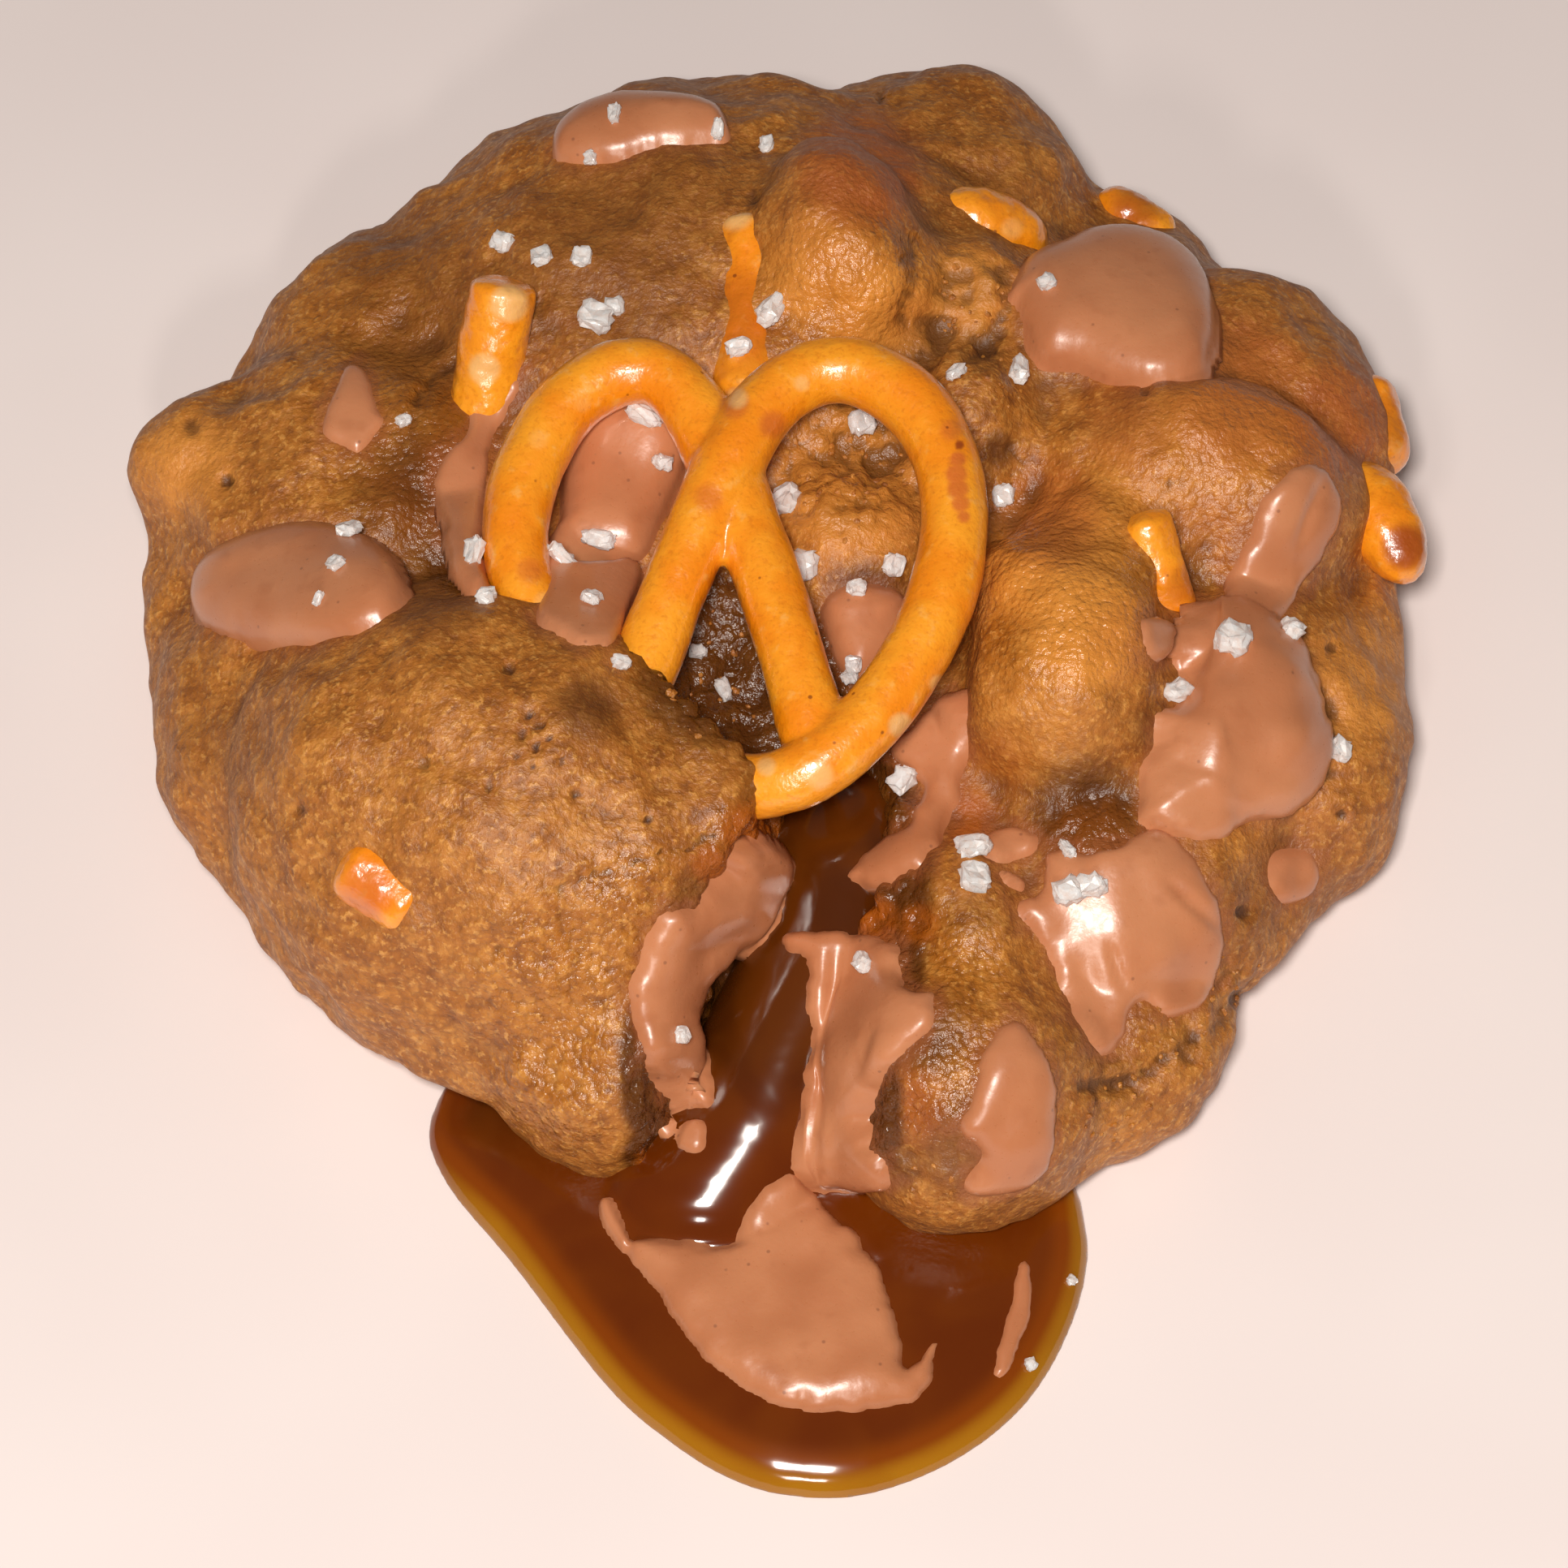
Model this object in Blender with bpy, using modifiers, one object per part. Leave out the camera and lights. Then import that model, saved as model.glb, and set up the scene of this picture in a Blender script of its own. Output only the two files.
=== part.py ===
"""A thick caramel-filled cookie with a mini pretzel baked on top, torn open at the front.

The dough is a slab of fused lumps. Melted chocolate, pretzel pieces and salt sit on and in it,
and the caramel filling runs out through the tear into a pool. Everything is modelled in
millimetres and scaled to metres at the end. The origin is the middle of the flat underside,
+X is the right of the cookie as seen from the torn side, and the tear faces -Y.

Places on the crust are given as seen by an eye in front of and above the tear: u runs to the
right and v runs up, in millimetres, on a plane square to the line of sight.
"""

import math
import random

import bmesh
import bpy
from mathutils import Matrix, Vector, noise
from mathutils.bvhtree import BVHTree

MM = 0.001

# The eye that the places on the crust are read from
EYE_TILT = math.radians(58)
EYE_DISTANCE = 450
LOOK_AT = Vector((0.6, -9.9, 0))

# Driving sizes, in millimetres
GAP = 0.3
ROPE_RADIUS = 2.25
POOL_HEIGHT = 2.6
GRAIN_SIZE = 1.9

# Fineness of the solids
LUMP_VOXEL = 0.9
LUMP_SOFTENING = 5
DOUGH_FACES = 3500
CARVED_DOUGH_FACES = 5400
CARAMEL_FACES = 1000
CARVED_CARAMEL_FACES = 1250
TWIST_FACES = 1150
FILM_VOXEL = 0.42
FILM_FACES = 190
THINNING_STEP = 1.03
DAB_SPACING = 0.9
DAB_LEAST = 0.25
DAB_MOST = 2.4
SEED = 11

# Colours (linear) with roughness
FINISHES = {
    "dough": ((0.35, 0.17, 0.055, 1), 0.6),
    "chocolate": ((0.36, 0.15, 0.085, 1), 0.3),
    "pretzel": ((0.62, 0.22, 0.02, 1), 0.35),
    "caramel": ((0.33, 0.1, 0.008, 1), 0.12),
}

# Lumps of dough: centre, radii, turn about Z in degrees
LUMPS = {
    "core slab": ((0, 0.5, 5.5), (43.4, 43, 11), 0),
    "front left lobe": ((-17.5, -19.5, 9), (20, 16.5, 17), -25),
    "lobe nose": ((-5.5, -23, 13), (7.5, 7, 9.5), -25),
    "lobe toe": ((-10.5, -33.5, 5.5), (9, 9, 8.5), 0),
    "left flank": ((-30, -8, 6), (12.3, 14, 9.5), 0),
    "front right lobe": ((12.5, -37, 6.5), (9.5, 9.8, 10), 0),
    "front right ridge": ((12.5, -29, 9), (5.5, 8, 8.5), 15),
    "right apron": ((21.5, -22.5, 6), (14, 11.5, 10.5), 35),
    "right toe": ((20.5, -32, 4.5), (11, 9.2, 7), 35),
    "right rim": ((33.6, -8, 5.5), (9, 14.5, 9), 8),
    "right seat": ((28, -12, 8), (10, 11, 10), 0),
    "right lump": ((18.5, -11, 14.5), (6.8, 10.5, 10.5), 6),
    "right shoulder": ((28, 5, 11.5), (12.5, 8.5, 10.5), -8),
    "right upper rim": ((33, 15, 7.5), (9.5, 12, 9), 25),
    "disc seat": ((22, 14.5, 9.5), (12, 10, 10.5), 0),
    "crown lump": ((4.4, 20, 17.5), (6.6, 9.3, 10), 8),
    "crumb lump": ((13.2, 18.5, 14.5), (5, 6.5, 6.5), 0),
    "back slope": ((-4, 20, 7), (26.5, 22.5, 15.5), 0),
    "back corner": ((11, 30.5, 7), (12, 14.5, 10), 0),
    "back right rim": ((24, 21.5, 5.5), (10, 10, 8.5), 0),
    "back left rim": ((-25, 19.5, 6), (12, 11.6, 10.5), 0),
    "left plateau": ((-27, 6, 7), (15, 15, 11.5), 0),
    "left knob": ((-39, 9.5, 9), (5.2, 6, 6.5), 0),
    "lump in the right loop": ((5, -1, 12.5), (7, 6.5, 8), 0),
    "small lump": ((13, 8.5, 14.5), (5, 6, 7.5), 0),
    "seat under the left loop": ((-11, 0, 9.5), (9, 8, 8), 0),
}

# The torn gap, as spheres along two lines: the narrow bottom and the wide mouth above it
TEAR_BOTTOM = (
    ((3, -18, 16), 4.6),
    ((4.4, -22.5, 13), 3.4),
    ((0.5, -28, 9), 3.9),
    ((-1.3, -33.5, 6), 3.9),
    ((-2.6, -40, 5), 4.4),
    ((-3, -47, 5), 7),
)
TEAR_MOUTH = (
    ((-4, -10.5, 19.5), 6.2),
    ((2, -16, 19), 6.2),
    ((5.4, -21, 20), 5.6),
    ((3.4, -27, 18.5), 5.6),
    ((1, -33, 16.5), 7.4),
    ((-1, -39, 13), 7.6),
    ((-1, -47, 12), 8),
)

# The caramel that fills the tear: centre and radii
FILLING = (
    ((5, -21, 8), (6.5, 7.5, 5.5)),
    ((4, -27, 6.5), (5.5, 6, 5.2)),
    ((1, -32, 5), (5.2, 6, 4.6)),
    ((-1, -37, 3.6), (5.8, 5.5, 4)),
    ((-4.5, -42, 1.8), (6.5, 5, 3.4)),
)

# Outline of the pool on the table, going round to the right from under the left lobe
POOL_OUTLINE = (
    (-19, -31), (-22.9, -36), (-21.8, -40.8), (-17.2, -47), (-11, -55.8), (-6.8, -59.9),
    (-2.8, -62.6), (1.2, -63.8), (6.2, -63.6), (12, -61), (16.7, -56.6), (19.8, -50.2),
    (20.5, -44.5), (18.5, -39), (10, -33), (-6, -30),
)

# Middle line of the pretzel's rope, as seen: u, v and the height over the pretzel's plane
ROPE = (
    (2.4, 2.0, -0.6), (0.3, 10.2, 0), (-3.6, 20.8, -0.4), (-6.4, 26.6, -0.2), (-9.8, 28.9, 0),
    (-15.0, 26.4, 0), (-18.3, 20.2, 0), (-18.5, 14.6, 0), (-15.0, 6.6, -0.4), (-9.2, 1.7, -0.8),
    (-3.7, -0.4, -0.6), (1.9, 0.5, 0), (7.4, 5.8, 0), (11.3, 13.2, 0), (11.9, 20.4, 0),
    (9.4, 26.0, 0), (4.3, 28.9, 0), (-0.6, 26.9, 0.4), (-3.8, 21.6, 0.9), (-7.9, 12.5, 0),
    (-11.4, 3.6, -0.6),
)
PRETZEL_MIDDLE = Vector((-2.6, -7.6, 21.8))
PRETZEL_TILT = math.radians(7)
PRETZEL_ROLL = math.radians(5)

# Broken pretzel pieces: the two ends as seen (u, v), depth of each below the crust, radius
PRETZEL_BITS = {
    "pretzel_bit_stub": ((-18.7, 31.6), (-20.6, 27.2), -2.8, -0.4, 2.25),
    "pretzel_bit_behind_crown": ((-3.3, 37.6), (-2.9, 28.2), 1.0, 0.8, 2.2),
    "pretzel_bit_oval": ((13.9, 39.1), (15.8, 38.2), 1.0, 1.0, 2.0),
    "pretzel_bit_valley": ((25.7, 18.4), (27.5, 13.6), 1.0, 1.0, 1.6),
    "pretzel_bit_left_lobe": ((-29.0, -6.9), (-28.6, -7.9), 1.5, 1.5, 2.5),
}

# Pretzel pieces that stick out of the rim: the two ends and the radius
RIM_BITS = {
    "pretzel_bit_back_rim": ((24.2, 32.6, 8.6), (26.6, 30.8, 8.3), 1.8),
    "pretzel_bit_right_end": ((40.5, 6.6, 11.0), (42.3, 2.6, 10.6), 2.4),
    "pretzel_bit_right_rim": ((41.1, 15.0, 9.8), (41.8, 11.4, 9.6), 2.0),
}

# Chocolate discs: middle as seen (u, v), half width, half length, half thickness, turn, sink
DISCS = {
    "chocolate_disc_left": ((-33.1, 13.7), 7.2, 5.6, 2.6, 6, 0.9),
    "chocolate_disc_right": ((22.7, 32.7), 6.9, 6.2, 2.8, -10, 0.9),
    "chocolate_disc_back": ((-9.9, 45.2), 6.1, 4.0, 2.4, 8, 0.5),
    "chocolate_disc_left_loop": ((-10.6, 20.6), 5.2, 5.9, 2.4, 20, 0.8),
    "chocolate_chip_right_loop": ((5.9, 11.6), 3.6, 3.6, 2.2, 0, 0.6),
    "chocolate_chip_left": ((-29.4, 25.6), 2.3, 3.6, 1.3, 20, 0.6),
    "chocolate_chip_right": ((34.2, -6.9), 2.4, 2.6, 1.4, 0, 0.6),
}

# Melted chocolate: a line of drops as seen (u, v, radius), and the film's rise over the crust
SMEARS = {
    "chocolate_smear_right": (
        ((37.4, 19.6, 1.8), (34.8, 16.8, 2.8), (31.4, 12.4, 1.7), (32.0, 7.4, 4.2),
         (31.2, 2.2, 5.4), (27.2, -0.6, 2.8)),
        1.3,
    ),
    "chocolate_smear_apron": (
        ((18.4, -5.8, 2.0), (23.8, -8.0, 4.6), (26.4, -9.4, 3.8), (23.4, -14.0, 3.2),
         (22.4, -17.2, 1.2)),
        1.0,
    ),
    "chocolate_smear_apron_top": (((13.6, -4.2, 1.0), (16.2, -3.6, 1.1)), 0.6),
    "chocolate_smear_under_tip": (
        ((11.2, 5.8, 1.8), (11.2, 1.6, 2.4), (9.2, -2.4, 1.9), (7.0, -5.8, 1.2)),
        0.7,
    ),
    "chocolate_smear_left_loop": (
        ((-16.2, 15.8, 1.3), (-13.8, 13.0, 2.2), (-12.2, 10.8, 1.5)),
        0.5,
    ),
    "chocolate_smear_stub": (
        ((-20.6, 25.0, 1.2), (-21.8, 22.0, 1.7), (-21.2, 18.4, 1.1)),
        0.5,
    ),
    "chocolate_tear_left": (
        ((0.0, -5.2, 1.4), (-2.6, -7.2, 2.9), (-6.6, -11.2, 3.0), (-8.4, -15.8, 2.1),
         (-6.4, -20.6, 1.5)),
        1.0,
    ),
    "chocolate_tear_right": (
        ((2.6, -10.8, 1.4), (6.6, -13.6, 3.4), (4.8, -18.8, 2.9), (3.2, -24.0, 2.0),
         (5.4, -27.2, 1.5)),
        0.7,
    ),
    "chocolate_front_lobe": (
        ((12.8, -18.2, 1.6), (15.4, -21.0, 3.0), (16.0, -25.0, 2.3)),
        0.8,
    ),
    "chocolate_pool": (
        ((-11.2, -29.0, 0.9), (-8.6, -31.8, 2.0), (-3.0, -34.6, 4.4), (0.4, -27.8, 1.4),
         (1.6, -34.8, 4.8), (4.2, -40.0, 3.4), (9.8, -40.6, 0.9)),
        0.4,
    ),
    "chocolate_streak_pool": (
        ((16.5, -33.8, 0.7), (16.7, -37.0, 1.0), (15.7, -39.8, 0.7)),
        0.3,
    ),
}

# Salt: the node that it is baked on and the grains' places as seen (u, v)
SALT = {
    "dough": (
        (-19.2, 37.0), (-16.5, 36.0), (-13.8, 36.0), (-12.8, 31.8), (-1.0, 32.4), (-3.0, 29.8),
        (15.9, 28.1), (-21.0, 15.7), (-20.2, 12.6), (36.2, 10.6), (37.8, 2.3),
        (26.8, 6.2), (14.8, 20.4), (13.0, -6.6), (-1.2, 43.6), (-6.0, 9.0), (-4.2, 6.4),
    ),
    "pretzel_twist": ((0.3, 19.2), (1.4, 15.0), (14.2, 17.2)),
    "chocolate_disc_left": ((-29.8, 16.8), (-30.8, 15.0)),
    "chocolate_disc_right": ((17.8, 34.3),),
    "chocolate_disc_back": ((-11.6, 46.4), (-5.0, 45.4)),
    "chocolate_smear_apron": ((21.0, -7.0), (19.6, -7.6)),
    "chocolate_tear_right": ((5.6, -12.4),),
    "chocolate_tear_left": ((-7.2, -17.2),),
    "chocolate_smear_right": ((30.6, 9.6),),
    "chocolate_smear_under_tip": ((8.6, 0.2),),
}


def clear_scene():
    for old in list(bpy.data.objects):
        bpy.data.objects.remove(old, do_unlink=True)


def new_collection(name):
    collection = bpy.data.collections.new(name)
    bpy.context.scene.collection.children.link(collection)
    return collection


def to_object(bm, name, collection):
    """A bmesh as a new object. The bmesh is freed."""
    mesh = bpy.data.meshes.new(name)
    bm.to_mesh(mesh)
    bm.free()
    obj = bpy.data.objects.new(name, mesh)
    collection.objects.link(obj)
    return obj


def bake(obj):
    """Puts what the modifiers make into the object's own mesh."""
    graph = bpy.context.evaluated_depsgraph_get()
    mesh = bpy.data.meshes.new_from_object(obj.evaluated_get(graph))
    obj.modifiers.clear()
    obj.data = mesh
    return obj


def fuse(obj, voxel, softening):
    """Melts overlapping closed shapes into one skin and rounds the creases between them."""
    remesh = obj.modifiers.new("Fuse", "REMESH")
    remesh.mode = "VOXEL"
    remesh.voxel_size = voxel
    soften = obj.modifiers.new("Soften", "SMOOTH")
    soften.factor = 0.5
    soften.iterations = softening
    return bake(obj)


def is_closed(mesh):
    bm = bmesh.new()
    bm.from_mesh(mesh)
    closed = all(edge.is_manifold for edge in bm.edges)
    bm.free()
    return closed


def thin_out(obj, faces):
    """Brings a mesh down to about this many triangles, or to a few more where it would tear."""
    whole = obj.data
    whole.calc_loop_triangles()
    count = len(whole.loop_triangles)
    while faces < count:
        decimate = obj.modifiers.new("Thin", "DECIMATE")
        decimate.ratio = faces / count
        bake(obj)
        if is_closed(obj.data):
            break
        obj.data = whole
        faces *= THINNING_STEP
    return obj


def add_ellipsoid(bm, centre, radii, turn=0.0, fineness=4):
    place = Matrix.Translation(centre) @ Matrix.Rotation(math.radians(turn), 4, "Z")
    size = Matrix.Diagonal((*radii, 1))
    bmesh.ops.create_icosphere(bm, subdivisions=fineness, radius=1, matrix=place @ size)


def stand_on_table(obj):
    """Cuts off what reaches below the table and closes the flat underside."""
    bm = bmesh.new()
    bm.from_mesh(obj.data)
    everything = bm.verts[:] + bm.edges[:] + bm.faces[:]
    bmesh.ops.bisect_plane(
        bm, geom=everything, dist=1e-4, plane_co=(0, 0, 0), plane_no=(0, 0, 1), clear_inner=True
    )
    rim = [edge for edge in bm.edges if edge.is_boundary]
    bmesh.ops.holes_fill(bm, edges=rim, sides=0)
    bmesh.ops.recalc_face_normals(bm, faces=bm.faces)
    bm.to_mesh(obj.data)
    bm.free()
    return obj


def keep_largest(obj):
    """Drops the loose scraps that a cut leaves."""
    bm = bmesh.new()
    bm.from_mesh(obj.data)
    waiting = set(bm.verts)
    islands = []
    while waiting:
        edge_of_island = [waiting.pop()]
        island = set(edge_of_island)
        while edge_of_island:
            vert = edge_of_island.pop()
            for edge in vert.link_edges:
                other = edge.other_vert(vert)
                if other in waiting:
                    waiting.discard(other)
                    island.add(other)
                    edge_of_island.append(other)
        islands.append(island)
    islands.sort(key=len, reverse=True)
    scraps = [vert for island in islands[1:] for vert in island]
    bmesh.ops.delete(bm, geom=scraps, context="VERTS")
    bm.to_mesh(obj.data)
    bm.free()
    return obj


def tree_of(*objects):
    """One search tree of several objects' surfaces."""
    bm = bmesh.new()
    for obj in objects:
        bm.from_mesh(obj.data)
    tree = BVHTree.FromBMesh(bm)
    bm.free()
    return tree


def sight_line(u, v):
    """Where the eye is, and the direction in which it sees (u, v)."""
    sine, cosine = math.sin(EYE_TILT), math.cos(EYE_TILT)
    eye = LOOK_AT + Vector((0, -cosine, sine)) * EYE_DISTANCE
    seen = LOOK_AT + Vector((u, v * sine, v * cosine))
    return eye, (seen - eye).normalized()


def on_crust(tree, u, v):
    """The point and the outward normal of the surface that the eye sees at (u, v)."""
    eye, direction = sight_line(u, v)
    point, normal, _, _ = tree.ray_cast(eye, direction)
    if point is None:
        middle, normal, _, _ = tree.find_nearest(eye + direction * EYE_DISTANCE)
        return middle, normal
    return point, normal


def smooth_normal(tree, point, reach):
    """The average direction of the surface round a point."""
    found = tree.find_nearest_range(point, reach)
    total = Vector()
    for _, normal, _, _ in found:
        total += normal
    return total.normalized()


def closed_curve(points, steps):
    """Points on a smooth closed curve through the given ones (Catmull-Rom)."""
    made = []
    count = len(points)
    for i in range(count):
        before, start, end, after = (Vector(points[(i + k) % count]) for k in (-1, 0, 1, 2))
        for step in range(steps):
            t = step / steps
            made.append(
                0.5 * (
                    2 * start + (end - before) * t
                    + (2 * before - 5 * start + 4 * end - after) * t * t
                    + (3 * start - before - 3 * end + after) * t ** 3
                )
            )
    return made


def dough(collection):
    """Lumps of dough melted together, with the tear and the hollow cut out of them."""
    bm = bmesh.new()
    for centre, radii, turn in LUMPS.values():
        add_ellipsoid(bm, centre, radii, turn)
    body = fuse(to_object(bm, "dough", collection), LUMP_VOXEL, 2)
    tear = tear_cutter(collection)
    cut = body.modifiers.new("Tear", "BOOLEAN")
    cut.operation = "DIFFERENCE"
    cut.solver = "MANIFOLD"
    cut.object = tear
    bake(body)
    bpy.data.objects.remove(tear)
    fuse(body, LUMP_VOXEL, LUMP_SOFTENING)
    roughen(body)
    thin_out(body, DOUGH_FACES)
    return keep_largest(stand_on_table(body))


def tear_cutter(collection):
    """Spheres set close together along the tear's bottom and its mouth, and fused."""
    bm = bmesh.new()
    for line in (TEAR_BOTTOM, TEAR_MOUTH):
        for (start, first), (end, last) in zip(line, line[1:]):
            for share in (0, 0.33, 0.67, 1):
                middle = Vector(start).lerp(Vector(end), share)
                radius = first + (last - first) * share
                add_ellipsoid(bm, middle, (radius, radius, radius), fineness=3)
    return fuse(to_object(bm, "tear", collection), LUMP_VOXEL, 2)


def roughen(obj):
    """Low waves of the crust, a few millimetres across."""
    normals = [vert.normal.copy() for vert in obj.data.vertices]
    for vert, normal in zip(obj.data.vertices, normals):
        wave = noise.noise(vert.co * 0.16) * 0.9 + noise.noise(vert.co * 0.45) * 0.35
        vert.co += normal * wave


def caramel(collection):
    """The pool on the table with the filling that runs down to it through the tear."""
    bm = bmesh.new()
    for centre, radii in FILLING:
        add_ellipsoid(bm, centre, radii)
    outline = closed_curve([(x, y, 0) for x, y in POOL_OUTLINE], 4)
    middle = sum(outline, Vector()) / len(outline)
    rings = (1.0, 0.97, 0.9, 0.75, 0.45)
    previous = None
    under = [bm.verts.new(point - Vector((0, 0, 2))) for point in outline]
    bm.faces.new(reversed(under))
    for share in rings:
        rise = POOL_HEIGHT * math.sqrt(1 - share ** 4)
        ring = [bm.verts.new(middle.lerp(point, share) + Vector((0, 0, rise))) for point in outline]
        bridge(bm, previous or under, ring)
        previous = ring
    bm.faces.new(previous)
    pool = fuse(to_object(bm, "caramel", collection), 0.55, 3)
    thin_out(pool, CARAMEL_FACES)
    return keep_largest(stand_on_table(pool))


def bridge(bm, lower, upper):
    """Faces between two rings with the same number of points."""
    count = len(lower)
    for i in range(count):
        j = (i + 1) % count
        bm.faces.new((lower[i], lower[j], upper[j], upper[i]))


def on_pretzel_plane(u, v, height):
    """The point at (u, v) as seen, this high over the plane that the pretzel lies in."""
    normal = Vector((-math.tan(PRETZEL_ROLL), -math.tan(PRETZEL_TILT), 1)).normalized()
    eye, direction = sight_line(u, v)
    reach = (PRETZEL_MIDDLE - eye).dot(normal) / direction.dot(normal)
    return eye + direction * reach + normal * height


def pretzel_twist(collection):
    """One rope of pretzel dough, laid in two loops and fused where it crosses itself."""
    data = bpy.data.curves.new("rope", "CURVE")
    data.dimensions = "3D"
    data.bevel_depth = ROPE_RADIUS
    data.bevel_resolution = 3
    data.resolution_u = 4
    data.use_fill_caps = True
    spline = data.splines.new("NURBS")
    spline.points.add(len(ROPE) - 1)
    spline.order_u = 3
    spline.use_endpoint_u = True
    for knot, place in zip(spline.points, ROPE):
        knot.co = (*on_pretzel_plane(*place), 1)
    curve = bpy.data.objects.new("rope", data)
    collection.objects.link(curve)
    graph = bpy.context.evaluated_depsgraph_get()
    mesh = bpy.data.meshes.new_from_object(curve.evaluated_get(graph))
    bpy.data.objects.remove(curve)
    bm = bmesh.new()
    bm.from_mesh(mesh)
    bmesh.ops.remove_doubles(bm, verts=bm.verts, dist=1e-4)
    for place in (ROPE[0], ROPE[-1]):
        add_ellipsoid(bm, on_pretzel_plane(*place), (ROPE_RADIUS,) * 3, fineness=3)
    twist = fuse(to_object(bm, "pretzel_twist", collection), 0.4, 4)
    return thin_out(twist, TWIST_FACES)


def capsule(name, start, end, radius, collection):
    """A short piece of rope with round ends."""
    bm = bmesh.new()
    bmesh.ops.create_uvsphere(bm, u_segments=10, v_segments=6, radius=radius)
    length = (end - start).length
    for vert in bm.verts:
        vert.co.z += length / 2 if vert.co.z > 1e-4 else -length / 2 if vert.co.z < -1e-4 else 0
    turn = Vector((0, 0, 1)).rotation_difference(end - start).to_matrix().to_4x4()
    bm.transform(Matrix.Translation((start + end) / 2) @ turn)
    return to_object(bm, name, collection)


def pretzel_bits(crust, collection):
    made = []
    for name, (first, last, first_depth, last_depth, radius) in PRETZEL_BITS.items():
        ends = []
        for (u, v), depth in ((first, first_depth), (last, last_depth)):
            point, normal = on_crust(crust, u, v)
            ends.append(point - normal * depth)
        made.append(capsule(name, *ends, radius, collection))
    for name, (start, end, radius) in RIM_BITS.items():
        made.append(capsule(name, Vector(start), Vector(end), radius, collection))
    return made


def chocolate_discs(crust, collection):
    """Chips that kept their shape: flattened domes that lie in the crust."""
    made = []
    for name, (place, width, length, thickness, turn, sink) in DISCS.items():
        point, _ = on_crust(crust, *place)
        normal = smooth_normal(crust, point, width)
        bm = bmesh.new()
        bmesh.ops.create_uvsphere(bm, u_segments=16, v_segments=8, radius=1)
        bm.transform(Matrix.Diagonal((width, length, thickness, 1)))
        lean = Vector((0, 0, 1)).rotation_difference(normal).to_matrix().to_4x4()
        spin = Matrix.Rotation(math.radians(turn), 4, "Z")
        bm.transform(Matrix.Translation(point - normal * sink) @ lean @ spin)
        made.append(to_object(bm, name, collection))
    return made


def depth_inside(line, spot):
    """How far inside a tapering line of drops a spot lies; negative outside."""
    deepest = -math.inf
    for start, end in zip(line, line[1:]):
        first, last = Vector(start[:2]), Vector(end[:2])
        along = last - first
        share = max(0.0, min(1.0, (spot - first).dot(along) / along.length_squared))
        radius = start[2] + (end[2] - start[2]) * share
        deepest = max(deepest, radius - (first + along * share - spot).length)
    return deepest


def smears(crust, collection):
    """Melted chocolate: flat dabs laid side by side on the crust inside a shape, and fused."""
    made = []
    for name, (line, rise) in SMEARS.items():
        low = Vector((min(u - r for u, v, r in line), min(v - r for u, v, r in line)))
        high = Vector((max(u + r for u, v, r in line), max(v + r for u, v, r in line)))
        bm = bmesh.new()
        for column in range(int((high.x - low.x) / DAB_SPACING) + 1):
            for row in range(int((high.y - low.y) / DAB_SPACING) + 1):
                spot = low + Vector((column, row)) * DAB_SPACING
                inside = depth_inside(line, spot)
                if inside > DAB_LEAST:
                    add_dab(bm, crust, spot, min(inside + DAB_LEAST, DAB_MOST), rise)
        film = fuse(to_object(bm, name, collection), FILM_VOXEL, 4)
        made.append(thin_out(keep_largest(film), FILM_FACES))
    return made


def add_dab(bm, crust, spot, radius, rise):
    """One flat drop of chocolate, thicker the further it lies from the edge of the film."""
    point, _ = on_crust(crust, spot.x, spot.y)
    normal = smooth_normal(crust, point, 2.0)
    height = 0.5 + rise * radius / DAB_MOST
    lean = Vector((0, 0, 1)).rotation_difference(normal).to_matrix().to_4x4()
    size = Matrix.Diagonal((radius, radius, height, 1))
    where = Matrix.Translation(point - normal * 0.25)
    bmesh.ops.create_icosphere(bm, subdivisions=2, radius=1, matrix=where @ lean @ size)


def touches(one, other):
    return bool(tree_of(one).overlap(tree_of(other)))


def swollen_copy(obj, collection):
    """A cutter a little larger than the piece, so that the two keep a gap."""
    bm = bmesh.new()
    bm.from_mesh(obj.data)
    bm.normal_update()
    for vert, normal in [(vert, vert.normal.copy()) for vert in bm.verts]:
        vert.co += normal * GAP
    cutter = to_object(bm, "cutter_" + obj.name, collection)
    cutter.hide_render = True
    cutter.display_type = "WIRE"
    return cutter


def carve(host, pieces, cutters):
    """Makes room in the host for each piece that reaches into it."""
    for piece in pieces:
        cutter = swollen_copy(piece, cutters)
        if touches(host, cutter):
            cut = host.modifiers.new("Room for " + piece.name, "BOOLEAN")
            cut.operation = "DIFFERENCE"
            cut.solver = "MANIFOLD"
            cut.object = cutter
            bake(host)
        bpy.data.objects.remove(cutter)
    return keep_largest(host)


def grain(bm, place, normal, draw):
    """One salt crystal, a squashed lump with a few flat sides."""
    size = GRAIN_SIZE * draw.uniform(0.38, 0.62)
    shape = Matrix.Diagonal((size * draw.uniform(0.9, 1.4), size, size * 0.75, 1))
    lean = Vector((0, 0, 1)).rotation_difference(normal).to_matrix().to_4x4()
    spin = Matrix.Rotation(draw.uniform(0, math.tau), 4, "Z")
    where = Matrix.Translation(place + normal * size * 0.25)
    bmesh.ops.create_icosphere(bm, subdivisions=1, radius=1, matrix=where @ lean @ spin @ shape)


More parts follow.
